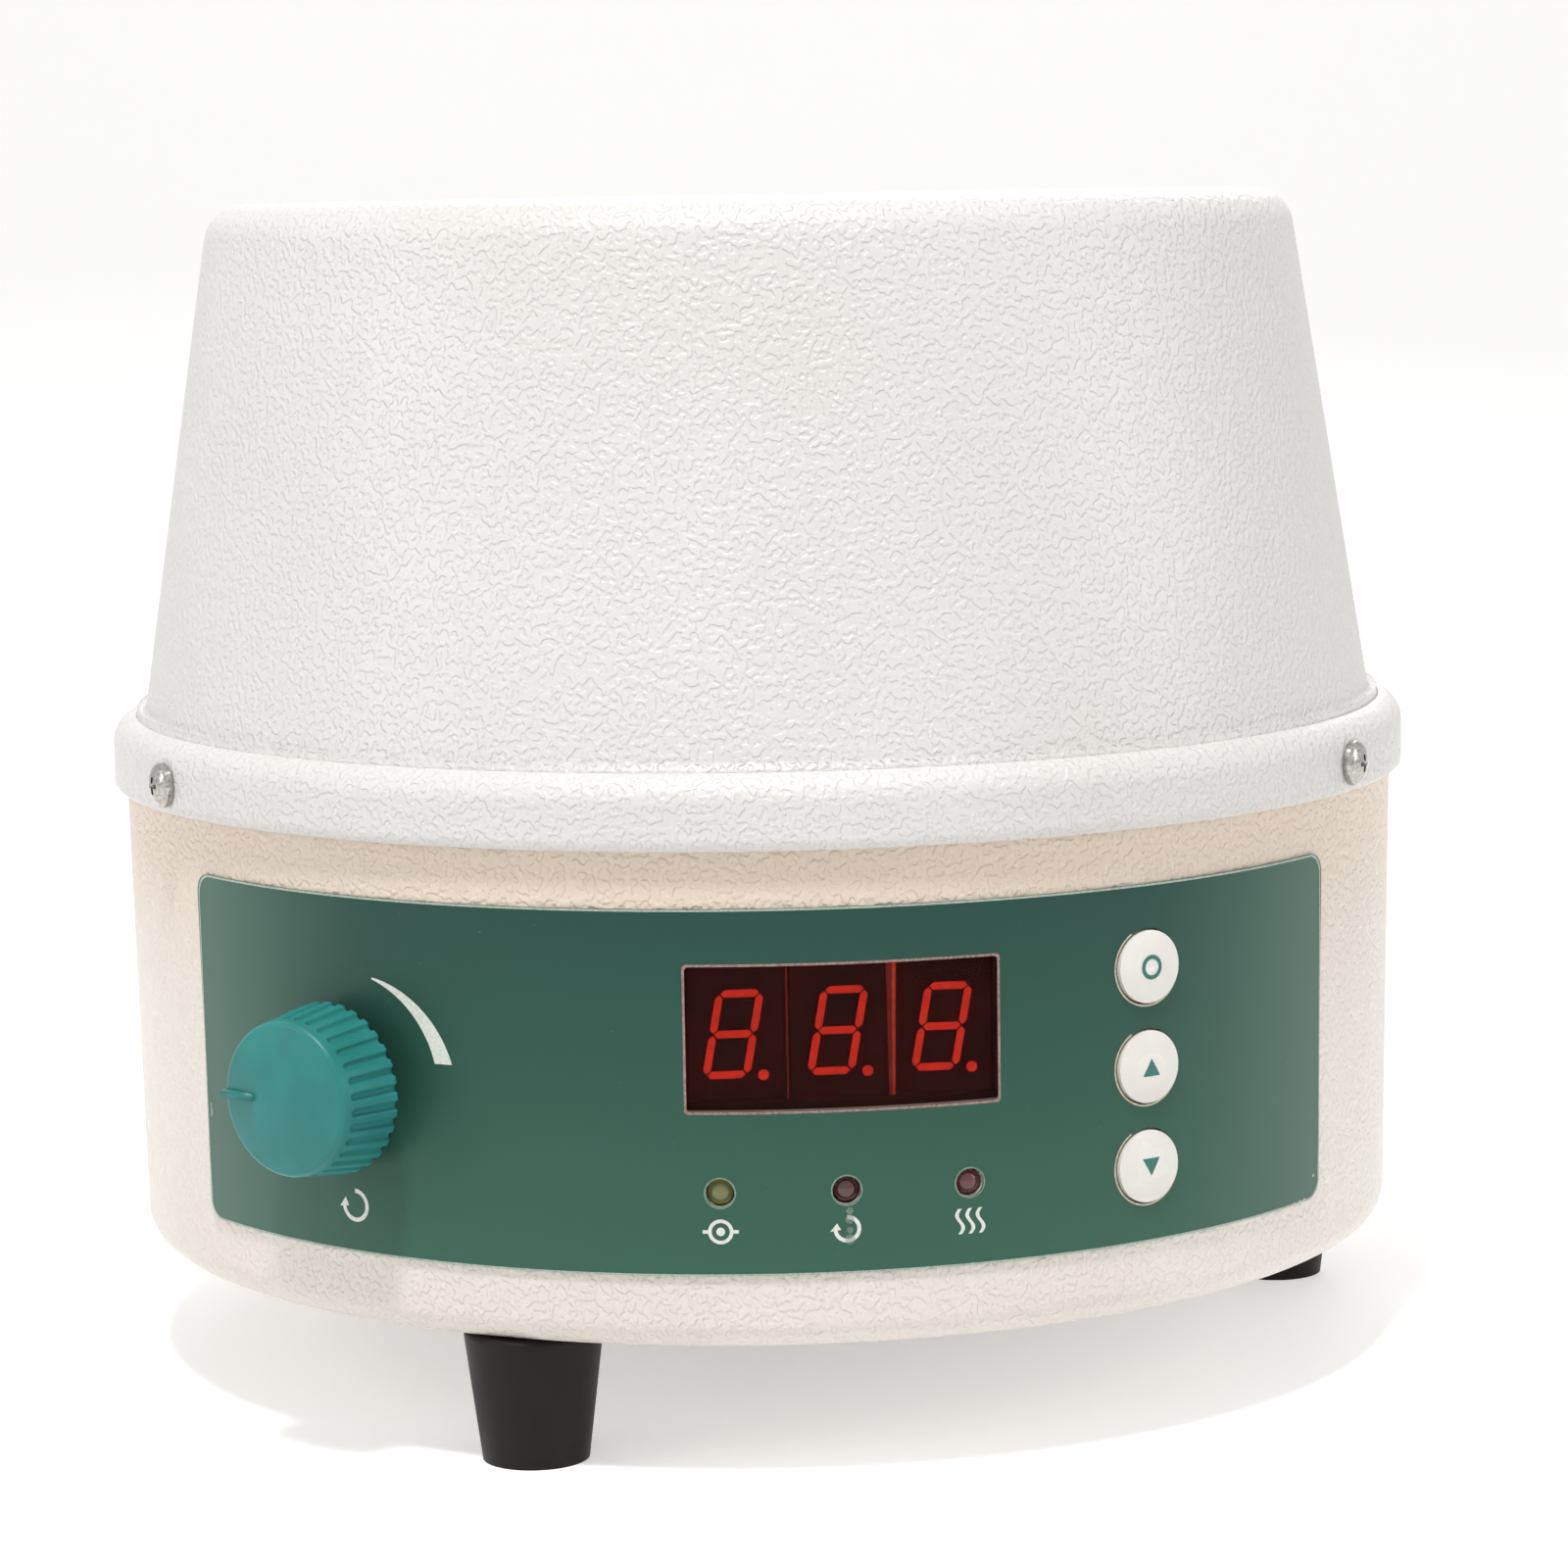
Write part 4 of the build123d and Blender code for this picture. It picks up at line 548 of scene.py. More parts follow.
def outline(x_low, x_high, z_low, z_high, corner, width, steps=8, longest=3):
    """Closed rounded frame: its outer line, and the same line drawn in by its width."""
    points = []
    spots = ((x_high, z_high, 0), (x_high, z_low, 90), (x_low, z_low, 180), (x_low, z_high, 270))
    for x, z, start in spots:
        cx = x - corner if x == x_high else x + corner
        cz = z - corner if z == z_high else z + corner
        points += circle_points(cx, cz, corner, start, start + 90, steps)
    outer_loop = []
    for a, b in zip(points, points[1:] + points[:1]):
        parts = max(1, int(hypot(b[0] - a[0], b[1] - a[1]) / longest))
        outer_loop += [(a[0] + (b[0] - a[0]) * i / parts, a[1] + (b[1] - a[1]) * i / parts)
                       for i in range(parts)]
    outer_loop.append(outer_loop[0])
    mid_x, mid_z = (x_low + x_high) / 2, (z_low + z_high) / 2
    half_x, half_z = (x_high - x_low) / 2, (z_high - z_low) / 2
    inner_loop = [(mid_x + (x - mid_x) * (1 - width / half_x), mid_z + (z - mid_z) * (1 - width / half_z))
                  for x, z in outer_loop]
    return (outer_loop, inner_loop)


def film_mark(name, azimuth, ribbons, material, lift=ink_lift):
    """Ribbons that lie on the film, as one piece."""
    return add_piece(name, *ribbon_mesh(azimuth, ribbons, lift), material, "housing", "teal_film")


print("ribbon helpers ready")

# %% [markdown]
# ## The speed scale beside the knob
# A white wedge grows clockwise from twelve to three o'clock, between two circles whose centres are
# a little apart. Under the knob stands a plain icon of a turning arrow, which needs no words.

# %% Speed wedge and its icon
knob_azimuth, knob_z = -36.5, 54.2
wedge = (circle_points(2.2, 53.9, 16.0, 8.7, 74.2, 40), circle_points(-0.2, 54.8, 15.4, 17.9, 77.1, 40))


def turning_arrow(x, z, radius, width):
    """Three quarters of a ring with an arrow head."""
    tip = circle_points(x, z, radius, 300, 300, 1)[0]
    base = [circle_points(x, z, radius + side * width * 1.4, 262, 262, 1)[0] for side in (1, -1)]
    head = ([base[0], tip], [base[1], (tip[0] + 0.01, tip[1] + 0.01)])
    return [ring(x, z, radius - width / 2, radius + width / 2, 0, 268, 36), head]


knob_marks = [wedge] + turning_arrow(0.0, 36.6, 2.1, 0.62)
film_mark("speed_marks", knob_azimuth, knob_marks, ink_white)
print("speed marks ready")

# %% [markdown]
# ## Icons under the lamps
# The lamps need a sign each: a target for the set value, a turning arrow for stirring and three
# waves for heat. They are generic symbols, drawn with the same ribbons.

# %% Lamp icons
lamp_azimuths = {"set_lamp": -3.76, "stir_lamp": 6.47, "heat_lamp": 16.70}
lamp_z, lamp_hole = 41.5, 2.0
icon_z = 36.1
dot = 0.01


def wave(x, z, height, width):
    steps = 16
    line = [(x + 0.45 * sin(2 * pi * i / steps), z - height / 2 + height * i / steps)
            for i in range(steps + 1)]
    return ([(px - width / 2, pz) for px, pz in line], [(px + width / 2, pz) for px, pz in line])


lamp_icons = {
    "set_lamp": [ring(0, icon_z, 1.25, 1.75), ring(0, icon_z, dot, 0.6),
                 bar(-2.5, icon_z, -1.75, icon_z, 0.5), bar(1.75, icon_z, 2.5, icon_z, 0.5)],
    "stir_lamp": turning_arrow(0.0, icon_z, 1.65, 0.55),
    "heat_lamp": [wave(x, icon_z, 3.6, 0.55) for x in (-1.5, 0.0, 1.5)],
}
for name, marks in lamp_icons.items():
    film_mark(name + "_icon", lamp_azimuths[name], marks, ink_white)
print("lamp icons:", len(lamp_icons))

# %% [markdown]
# ## Cut edges of the film
# Where the film was cut, its clear layer shows as a line a few tenths of a millimetre wide: all the
# way round the label, round the window, and round every lamp hole and key.

# %% Edge lines
button_azimuth = 33.25
button_heights = {"select_button": 69.3, "raise_button": 55.05, "lower_button": 40.8}
label_left, label_right = 56.4, 56.0
label_low, label_high, label_corner = 29.8, 81.0, 3.0
label_reach = casing_radius((label_low + label_high) / 2) + film
label_half = radians((label_right + label_left) / 2) * label_reach
label_middle = (label_right - label_left) / 2
label_frame = outline(-label_half, label_half, label_low, label_high, label_corner, 0.3)
film_mark("label_edge", label_middle, [label_frame], edge_pale, edge_lift)

window_azimuth, window_half, window_low, window_high = 6.45, 22.15, 52.5, 73.4
window_frame = outline(-window_half, window_half, window_low, window_high, 0.6, 0.35)
film_mark("window_edge", window_azimuth, [window_frame], edge_pink, edge_lift)

rim_width = 0.22
for name, azimuth in lamp_azimuths.items():
    film_mark(name + "_edge", azimuth, [ring(0, lamp_z, lamp_hole, lamp_hole + rim_width)],
              edge_green, edge_lift)

key_hole, key_rim = 5.45, 5.72
key_rims = [ring(0, z, key_hole, key_rim, 100, 330) for z in button_heights.values()]
film_mark("key_edges", button_azimuth, key_rims, edge_cream, edge_lift)
print("edge lines ready")

# %% [markdown]
# ## Small marks of use
# A clear smear of glue runs down from the middle lamp, a few chips show along the label's lower right
# edge, and the film is scuffed at its left end. They are a fraction of a millimetre, and they keep a
# clean surface from looking drawn.

# %% Glue smear, chips and a scuff
glue_clear, glue_tree, glue_shader = new_finish("dried_clear_glue", "#9fb3a6", 0.18, Alpha=0.4)
mottled(glue_tree, glue_shader, noise(glue_tree, 0.5).outputs["Fac"], "#93a79a", "#a8bbaf")
drops = ((38.6, 0.5), (37.4, 0.62), (35.9, 0.45), (34.6, 0.7))
smear = [ring(0.35, z, dot, size, steps=20) for z, size in drops]
film_mark("glue_smear", lamp_azimuths["stir_lamp"], smear, glue_clear, 0.05)

chip_middle, chip_lift = 22.5, 0.04
chip_spots = ((50.0, 29.95, 0.28), (51.6, 29.9, 0.4), (52.9, 30.1, 0.25), (46.5, 29.9, 0.22),
              (55.6, 33.2, 0.25))
chips = [ring(x, z, dot, size, steps=9) for x, z, size in chip_spots]
film_mark("film_chips", chip_middle, chips, edge_cream, chip_lift)

scuff_azimuth = -55.4
scuffs = [bar(-0.6, 45.0, -0.5, 47.0, 0.25, 2), bar(-0.2, 45.4, -0.15, 46.4, 0.14, 2)]
film_mark("film_scuff", scuff_azimuth, scuffs, edge_pale, chip_lift)
print("marks of use ready")

# %% [markdown]
# ## Key symbols
# The three keys carry a ring and two triangles, printed on their slightly domed caps. Each symbol
# moves with its own key, so it rides on that key's body and follows the cap's dome.

# %% Symbols on the caps
button_radius, button_crown, button_proud = 5.15, 0.55, 1.0
dome_radius = (button_radius ** 2 + button_crown ** 2) / (2 * button_crown)
key_bodies = {"select_button": "select_key", "raise_button": "raise_key", "lower_button": "lower_key"}


def on_cap(x, y):
    """Height of a point of the cap's dome below its crown."""
    return -(dome_radius - sqrt(dome_radius ** 2 - x * x - y * y))


def cap_symbol(name, ribbons):
    z = button_heights[name]
    place = facing(button_azimuth, z, casing_radius(z) + film + button_proud + ink_lift)
    verts, faces = [], []
    for left, right in ribbons:
        start = len(verts)
        for a, b in zip(left, right):
            verts += [place @ Vector((*p, on_cap(*p))) for p in (a, b)]
        faces += [(start + 2 * i, start + 2 * i + 1, start + 2 * i + 3, start + 2 * i + 2)
                  for i in range(len(left) - 1)]
    return add_piece(name + "_symbol", verts, faces, ink_teal, key_bodies[name], "teal_film")


def triangle(direction, half_height=1.25, half_width=1.5, steps=6):
    """Two half ribbons that meet on the middle line, pointing up (1) or down (-1)."""
    low, high = -half_height * direction, half_height * direction
    line = [low + (high - low) * i / steps for i in range(steps + 1)]
    half = [half_width * (1 - i / steps) + 0.005 for i in range(steps + 1)]
    middle = [(0.0, y) for y in line]
    left = [(-h * direction, y) for h, y in zip(half, line)]
    return [(left, middle), (middle, [(-x, y) for x, y in left])]


cap_symbol("select_button", [ring(0, 0, 1.15, 1.75)])
cap_symbol("raise_button", triangle(1))
cap_symbol("lower_button", triangle(-1))
print("key symbols ready")

# %% [markdown]
# ## The display's digits
# Each module shows a figure eight and a point, with thin dark gaps between its seven segments. One
# digit is modelled, and a Geometry Nodes tree repeats it along a line at the modules' pitch.

# %% One digit, flat and slightly slanted
def digit_faces(height=12.5, width=6.8, bar_width=1.2, gap=0.16, slant=radians(10.5)):
    """Seven six-sided segments, and the point, as flat faces."""
    half_w, half_h = (width - bar_width) / 2, (height - bar_width) / 2
    spots = [((-half_w, half_h), (half_w, half_h)), ((-half_w, 0), (half_w, 0)),
             ((-half_w, -half_h), (half_w, -half_h)),
             ((-half_w, 0), (-half_w, half_h)), ((half_w, 0), (half_w, half_h)),
             ((-half_w, -half_h), (-half_w, 0)), ((half_w, -half_h), (half_w, 0))]
    polygons = []
    for (x0, y0), (x1, y1) in spots:
        size = hypot(x1 - x0, y1 - y0)
        ux, uy = (x1 - x0) / size, (y1 - y0) / size
        h = bar_width / 2 - gap / 2
        ends = ((x0 + ux * gap, y0 + uy * gap), (x1 - ux * gap, y1 - uy * gap))
        polygons.append([ends[0], (ends[0][0] + ux * h + uy * h, ends[0][1] + uy * h - ux * h),
                         (ends[1][0] - ux * h + uy * h, ends[1][1] - uy * h - ux * h), ends[1],
                         (ends[1][0] - ux * h - uy * h, ends[1][1] - uy * h + ux * h),
                         (ends[0][0] + ux * h - uy * h, ends[0][1] + uy * h + ux * h)])
    leaned = [[(x + y * sin(slant) - 0.2, y) for x, y in shape] for shape in polygons]
    leaned.append([(3.9 + 0.75 * cos(2 * pi * i / 20), -5.85 + 0.75 * sin(2 * pi * i / 20))
                   for i in range(20)])
    return leaned


digit_mesh = bpy.data.meshes.new("one_digit")
digit = bmesh.new()
for shape in digit_faces():
    face = digit.faces.new([digit.verts.new((x * MM, y * MM, 0)) for x, y in shape])
    lifted = bmesh.ops.extrude_face_region(digit, geom=[face])
    for item in lifted["geom"]:
        if isinstance(item, bmesh.types.BMVert):
            item.co.z += 0.08 * MM
bmesh.ops.recalc_face_normals(digit, faces=digit.faces)
digit.to_mesh(digit_mesh)
digit.free()
digit_source = bpy.data.objects.new("one_digit", digit_mesh)
print("digit faces:", len(digit_mesh.polygons))

# %% Geometry Nodes helpers
def new_tree(name, inputs):
    """Empty geometry tree with named inputs. Returns the tree, its input node and its output node."""
    tree = bpy.data.node_groups.new(name, "GeometryNodeTree")
    for label, kind in inputs:
        tree.interface.new_socket(label, in_out="INPUT", socket_type=kind)
    tree.interface.new_socket("Geometry", in_out="OUTPUT", socket_type="NodeSocketGeometry")
    return tree, tree.nodes.new("NodeGroupInput"), tree.nodes.new("NodeGroupOutput")


def finish_tree(tree, last, material, out):
    """Realize Instances, Set Material, output."""
    real = add_node(tree, "GeometryNodeRealizeInstances", {"Geometry": last})
    dressed = add_node(tree, "GeometryNodeSetMaterial", {"Geometry": real.outputs["Geometry"],
                                                         "Material": material})
    tree.links.new(dressed.outputs["Geometry"], out.inputs["Geometry"])


def grow(name, tree, values, body, place=None, smooth=True):
    """Runs the tree once and keeps the result as a plain mesh on a body."""
    host = bpy.data.objects.new(name + "_host", bpy.data.meshes.new(name + "_host"))
    bpy.context.scene.collection.objects.link(host)
    modifier = host.modifiers.new("grow", "NODES")
    modifier.node_group = tree
    for item in tree.interface.items_tree:
        if item.in_out == "INPUT" and item.name in values:
            modifier[item.identifier] = values[item.name]
    graph = bpy.context.evaluated_depsgraph_get()
    mesh = bpy.data.meshes.new_from_object(host.evaluated_get(graph))
    bpy.data.objects.remove(host)
    mesh.name = name
    if place is not None:
        mesh.transform(place)
    mesh.polygons.foreach_set("use_smooth", [smooth] * len(mesh.polygons))
    piece = bpy.data.objects.new(name, mesh)
    bpy.context.scene.collection.objects.link(piece)
    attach(piece, body)
    print(name, "faces:", len(mesh.polygons))
    return piece


# %% Repeat the digit along a line
digits_tree, digits_in, digits_out = new_tree("digit_row", [
    ("Count", "NodeSocketInt"), ("Pitch", "NodeSocketVector"), ("Digit", "NodeSocketObject")])
digits_line = add_node(digits_tree, "GeometryNodeMeshLine", {"Count": digits_in.outputs["Count"],
                                                             "Offset": digits_in.outputs["Pitch"]})
digits_shape = add_node(digits_tree, "GeometryNodeObjectInfo", {"Object": digits_in.outputs["Digit"]})
digits_copies = add_node(digits_tree, "GeometryNodeInstanceOnPoints",
                         {"Points": digits_line.outputs["Mesh"],
                          "Instance": digits_shape.outputs["Geometry"]})
finish_tree(digits_tree, digits_copies.outputs["Instances"], segment_red, digits_out)

window_z, module_pitch = (window_low + window_high) / 2, 14.5
outward = Vector((sin(radians(window_azimuth)), -cos(radians(window_azimuth)), 0))
module_reach = max(v.co.dot(outward) for v in nodes["digit_module_middle"].data.vertices) / MM
shift = Matrix.Translation(Vector((-module_pitch * MM, 0, 0)))
flat_to_mm = Matrix.Scale(1 / MM, 4)
digit_place = facing(window_azimuth, window_z, module_reach + 0.02) @ flat_to_mm @ shift
grow("display_digits", digits_tree, {"Count": 3, "Pitch": (module_pitch * MM, 0, 0),
                                     "Digit": digit_source}, "housing", digit_place,
     smooth=False)
print("module fronts at", round(module_reach, 2), "mm")

# %% [markdown]
# Between the modules light leaks from their edges: a faint red line at the first gap, and a wider,
# brighter wedge at the second.

# %% Light in the module gaps
def flat_strip(name, corners, material):
    place = facing(window_azimuth, window_z, module_reach + 0.05)
    return add_piece(name, [place @ Vector((*c, 0)) for c in corners], [(0, 1, 2, 3)], material,
                     "housing", "red_filter", smooth=False)


flat_strip("module_gap_left", [(-7.35, -9.4), (-7.12, -9.4), (-7.12, 9.4), (-7.35, 9.4)], gap_red)
flat_strip("module_gap_right", [(6.85, -9.4), (7.65, -9.4), (8.0, 9.4), (6.6, 9.4)], gap_red)
flat_strip("module_gap_bright", [(7.3, -9.4), (7.65, -9.4), (8.0, 9.4), (7.45, 9.4)], gap_orange)
print("gap lights ready")

# %% [markdown]
# ## The speed knob
# The skirt has 32 flutes that end in a round a little short of the face, and the face is domed.
# Flutes like these are a height rule: a ball-ended cutter of radius r, run along the skirt. So the
# knob is a grid of points round its axis, and each point is pushed in by the cutter's depth there.

# %% Knob surface
knob_lift, knob_depth, knob_dome = 3.9, 10.0, 1.4
knob_base, knob_face = 12.3, 10.9
flute_count, flute_radius, flute_land = 32, 0.66, 1.7
knob_reach = casing_radius(knob_z) + film + knob_lift
slope = (knob_base - knob_face) / knob_depth
face_corner, foot_round, foot_nick = 0.75, 0.3, 0.09
bore_radius, bore_depth = 3.15, 8.0
hub_radius, hollow_radius, hollow_depth = 4.9, 9.8, 6.6


def knob_profile():
    """Radius and height of the skirt and the dome, from the skirt's foot to the crown."""
    points = [(knob_base - foot_round, 0.0), (knob_base - foot_nick, foot_nick),
              (knob_base - foot_round * slope, foot_round)]
    steps = 44
    top = knob_depth - face_corner
    points += [(knob_base - slope * a, a) for a in
               (foot_round + (top - foot_round) * i / steps for i in range(1, steps + 1))]
    dome = (knob_face ** 2 + knob_dome ** 2) / (2 * knob_dome)
    start = knob_face - face_corner
    points += [(knob_base - slope * top - (knob_base - slope * top - start) * (1 - cos(t)),
                top + (dome_height(start, dome) - top) * sin(t))
               for t in (pi / 2 * i / 7 for i in range(1, 8))]
    points += [(start * (1 - i / 14), dome_height(start * (1 - i / 14), dome)) for i in range(1, 14)]
    return points


def dome_height(radius, dome):
    return knob_depth + knob_dome - (dome - sqrt(dome ** 2 - radius ** 2))


def flute_depth(angle, height):
    """How deep the ball-ended cutter goes at a point of the skirt."""
    pitch = 2 * pi / flute_count
    away = ((angle / pitch) % 1 - 0.5) * pitch * knob_base
    past = max(0.0, height - (knob_depth - flute_land - flute_radius))
    left = flute_radius ** 2 - away ** 2 - past ** 2
    return max(0.0, sqrt(left) - 0.15 * flute_radius) if left > 0 else 0.0


underside = [(bore_radius, bore_depth), (bore_radius, 0.0), (hub_radius, 0.0),
             (hub_radius, hollow_depth), (hollow_radius, hollow_depth), (hollow_radius, 0.0)]
profile = underside + knob_profile()
steps_per_flute, skirt_starts = 20, knob_face - 0.8
around = flute_count * steps_per_flute
knob_verts, knob_faces = [], []
for i in range(around):
    turn = 2 * pi * i / around
    for r, a in profile:
        reach = r - (flute_depth(turn, a) if r > skirt_starts else 0.0)
        knob_verts.append(Vector((reach * cos(turn), reach * sin(turn), a)))
count = len(profile)
for i in range(around):
    here, after = i * count, (i + 1) % around * count
    knob_faces += [(here + j, after + j, after + j + 1, here + j + 1) for j in range(count - 1)]
crown = len(knob_verts)
knob_verts.append(Vector((0, 0, knob_depth + knob_dome)))
knob_faces += [(i * count + count - 1, (i + 1) % around * count + count - 1, crown)
               for i in range(around)]
bore_end = len(knob_verts)
knob_verts.append(Vector((0, 0, bore_depth)))
knob_faces += [(bore_end, (i + 1) % around * count, i * count) for i in range(around)]
print("knob grid:", around, "x", count)

# %% Knob pointer and the finished piece
pointer = bmesh.new()
bmesh.ops.create_cube(pointer, size=1.0)
pointer_length, pointer_width, pointer_rise = 6.2, 1.3, 2.3
pointer_taper, pointer_draft, pointer_fall, pointer_round = 0.72, 0.97, 0.25, 0.14
bmesh.ops.scale(pointer, verts=pointer.verts, vec=(pointer_length, pointer_width, pointer_rise))
for vert in pointer.verts:
    if vert.co.z > 0:
        vert.co.y *= pointer_taper
        vert.co.x *= pointer_draft
    if vert.co.z > 0 and vert.co.x < 0:
        vert.co.z -= pointer_fall
bmesh.ops.translate(pointer, verts=pointer.verts,
                    vec=(-knob_face + 0.05 + pointer_length / 2, 0, knob_depth + 0.62))
bmesh.ops.bevel(pointer, geom=pointer.edges[:], offset=pointer_round, segments=2, affect="EDGES")
start = len(knob_verts)
pointer.verts.ensure_lookup_table()
knob_verts += [v.co.copy() for v in pointer.verts]
knob_faces += [tuple(start + v.index for v in f.verts) for f in pointer.faces]
pointer.free()
knob_place = facing(knob_azimuth, knob_z, knob_reach)
knob_piece = add_piece("speed_knob_fluted", [knob_place @ v for v in knob_verts], knob_faces, abs_teal,
                       "speed_control", "teal_plastic")
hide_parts("speed_knob")
print("knob faces:", len(knob_faces))

# %% [markdown]
# ## Flange screws
# Three chromium-plated pan heads hold the shell. A cross recess is cut into one lathe-turned head by
# a boolean, and a Geometry Nodes tree sets copies round the flange, each turned to face outwards.

# %% One screw head, pointing up
def recessed_head(radius=3.3, height=2.2, shank=1.45, depth=3.0):
    points = [(shank, -depth), (shank, 0.0), (radius - 0.15, 0.0), (radius, 0.2), (radius, height * 0.3)]
    points += [(radius * cos(t), height * 0.3 + height * 0.7 * sin(t))
               for t in (pi / 2 * i / 10 for i in range(1, 10))]
    around, mesh = 40, bmesh.new()
    rings = [[mesh.verts.new((r * cos(2 * pi * i / around), r * sin(2 * pi * i / around), z))
              for i in range(around)] for r, z in points]
    for low, high in zip(rings, rings[1:]):
        for i in range(around):
            k = (i + 1) % around
            mesh.faces.new((low[i], low[k], high[k], high[i]))
    top = mesh.verts.new((0, 0, height))
    for i in range(around):
        mesh.faces.new((rings[-1][i], rings[-1][(i + 1) % around], top))
    mesh.faces.new(list(reversed(rings[0])))
    for vert in mesh.verts:
        vert.co *= MM
    return mesh


def cross_cutter(span=3.7, width=0.85, deep=1.5, height=2.2):
    mesh = bmesh.new()
    for turn in (0, pi / 2):
        made = bmesh.ops.create_cube(mesh, size=1.0)["verts"]
        bmesh.ops.scale(mesh, verts=made, vec=(span, width, deep * 2))
        for vert in made:
            if vert.co.z < 0:
                vert.co.x *= 0.45
                vert.co.y *= 0.6
        bmesh.ops.translate(mesh, verts=made, vec=(0, 0, height))
        bmesh.ops.rotate(mesh, verts=made, cent=(0, 0, 0), matrix=Matrix.Rotation(turn, 3, "Z"))
    for vert in mesh.verts:
        vert.co *= MM
    return mesh


def solid_object(name, made):
    mesh = bpy.data.meshes.new(name)
    made.to_mesh(mesh)
    made.free()
    thing = bpy.data.objects.new(name, mesh)
    bpy.context.scene.collection.objects.link(thing)
    return thing


head_blank = solid_object("screw_blank", recessed_head())
cross_tool = solid_object("cross_tool", cross_cutter())
cut = head_blank.modifiers.new("recess", "BOOLEAN")
cut.operation, cut.solver, cut.object = "DIFFERENCE", "EXACT", cross_tool
cut.use_self = True
graph = bpy.context.evaluated_depsgraph_get()
head_mesh = bpy.data.meshes.new_from_object(head_blank.evaluated_get(graph))
for leftover in (head_blank, cross_tool):
    bpy.data.objects.remove(leftover)
head_source = bpy.data.objects.new("screw_head", head_mesh)
print("screw head faces:", len(head_mesh.polygons))

# %% Three of them round the flange
screw_z, first_screw = 93.3, -60
screws_tree, screws_in, screws_out = new_tree("flange_screw_ring", [
    ("Count", "NodeSocketInt"), ("Radius", "NodeSocketFloat"), ("Height", "NodeSocketFloat"),
    ("First Azimuth", "NodeSocketFloat"), ("Screw", "NodeSocketObject")])
screws_points = add_node(screws_tree, "GeometryNodePoints", {"Count": screws_in.outputs["Count"]})
screws_index = add_node(screws_tree, "GeometryNodeInputIndex")
screws_step = add_node(screws_tree, "ShaderNodeMath", {0: 2 * pi, 1: screws_in.outputs["Count"]},
                       operation="DIVIDE")
screws_turn = add_node(screws_tree, "ShaderNodeMath",
                       {0: screws_index.outputs["Index"], 1: screws_step.outputs["Value"],
                        2: screws_in.outputs["First Azimuth"]}, operation="MULTIPLY_ADD")
screws_spin = add_node(screws_tree, "ShaderNodeCombineXYZ", {"X": pi / 2,
                                                             "Z": screws_turn.outputs["Value"]})
screws_shape = add_node(screws_tree, "GeometryNodeObjectInfo",
                        {"Object": screws_in.outputs["Screw"]})
screws_copies = add_node(screws_tree, "GeometryNodeInstanceOnPoints",
                         {"Points": screws_points.outputs["Points"],
                          "Instance": screws_shape.outputs["Geometry"],
                          "Rotation": screws_spin.outputs["Vector"]})
screws_offset = add_node(screws_tree, "ShaderNodeCombineXYZ", {"Y": screws_in.outputs["Height"],
                                                               "Z": screws_in.outputs["Radius"]})
screws_moved = add_node(screws_tree, "GeometryNodeTranslateInstances",
                        {"Instances": screws_copies.outputs["Instances"],
                         "Translation": screws_offset.outputs["Vector"]})
finish_tree(screws_tree, screws_moved.outputs["Instances"], chrome, screws_out)
screw_piece = grow("flange_screw_heads", screws_tree,
                   {"Count": 3, "Radius": flange_radius * MM, "Height": screw_z * MM,
                    "First Azimuth": radians(first_screw), "Screw": head_source}, "housing",
                   smooth=False)
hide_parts("flange_screws")

# %% [markdown]
# ## The knitted heating bowl
# The bowl that holds the flask is knitted from glass-fibre yarn over the heating wire. The yarn runs
# as one long spiral from the bottom to the rim, and each stitch shows as a small leaning pair of
# loops. A Geometry Nodes tree bends a line into that spiral by a rule and sets a stitch every few
# millimetres along it. Under the stitches lies a plain lining, so that no gap shows.

# %% Lining of the bowl
bowl_radius, bowl_outside, bowl_z, bowl_edge_z = 53.5, 58.0, 172.0, 175.5
near_axis, merge_gap, edge_flat = 0.001, 0.005, 0.8
lining = [(near_axis, bowl_z - bowl_radius)]
lining += [(bowl_radius * sin(t), bowl_z - bowl_radius * cos(t))
           for t in (pi / 2 * i / 40 for i in range(1, 41))]
edge_mid = (bowl_radius + bowl_outside) / 2
edge_half = (bowl_outside - bowl_radius) / 2
lining += [(edge_mid - edge_half * cos(t),
            bowl_edge_z - edge_half * edge_flat + edge_half * edge_flat * sin(t))
           for t in (pi * i / 16 for i in range(17))]
lining += [(bowl_outside * sin(t), bowl_z - bowl_outside * cos(t))
           for t in (pi / 2 * (1 - i / 40) for i in range(40))]
lining += [(near_axis, bowl_z - bowl_outside)]
lining_verts, lining_faces = lathe(list(reversed(lining)), turns=160)
lining_piece = add_piece("bowl_lining", lining_verts, lining_faces, glass_base, "housing",
                         "glass_fabric")
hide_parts("woven_bowl")
# The rings next to the axis are merged, which closes both poles.
closed = bmesh.new()
closed.from_mesh(lining_piece.data)
bmesh.ops.remove_doubles(closed, verts=closed.verts, dist=merge_gap * MM)
closed.to_mesh(lining_piece.data)
closed.free()
print("lining faces:", len(lining_faces))

# %% One stitch: two leaning loops of yarn
def stitch_mesh(yarn=0.62, half_length=1.95, lean=radians(24)):
    mesh = bmesh.new()
    for side in (-1, 1):
        made = bmesh.ops.create_uvsphere(mesh, u_segments=6, v_segments=5, radius=1.0)["verts"]
        bmesh.ops.scale(mesh, verts=made, vec=(yarn, yarn, half_length))
        bmesh.ops.rotate(mesh, verts=made, cent=(0, 0, 0),
                         matrix=Matrix.Rotation(side * lean, 3, "Y"))
        bmesh.ops.translate(mesh, verts=made, vec=(side * yarn, 0, 0))
    for vert in mesh.verts:
        vert.co *= MM
    return mesh


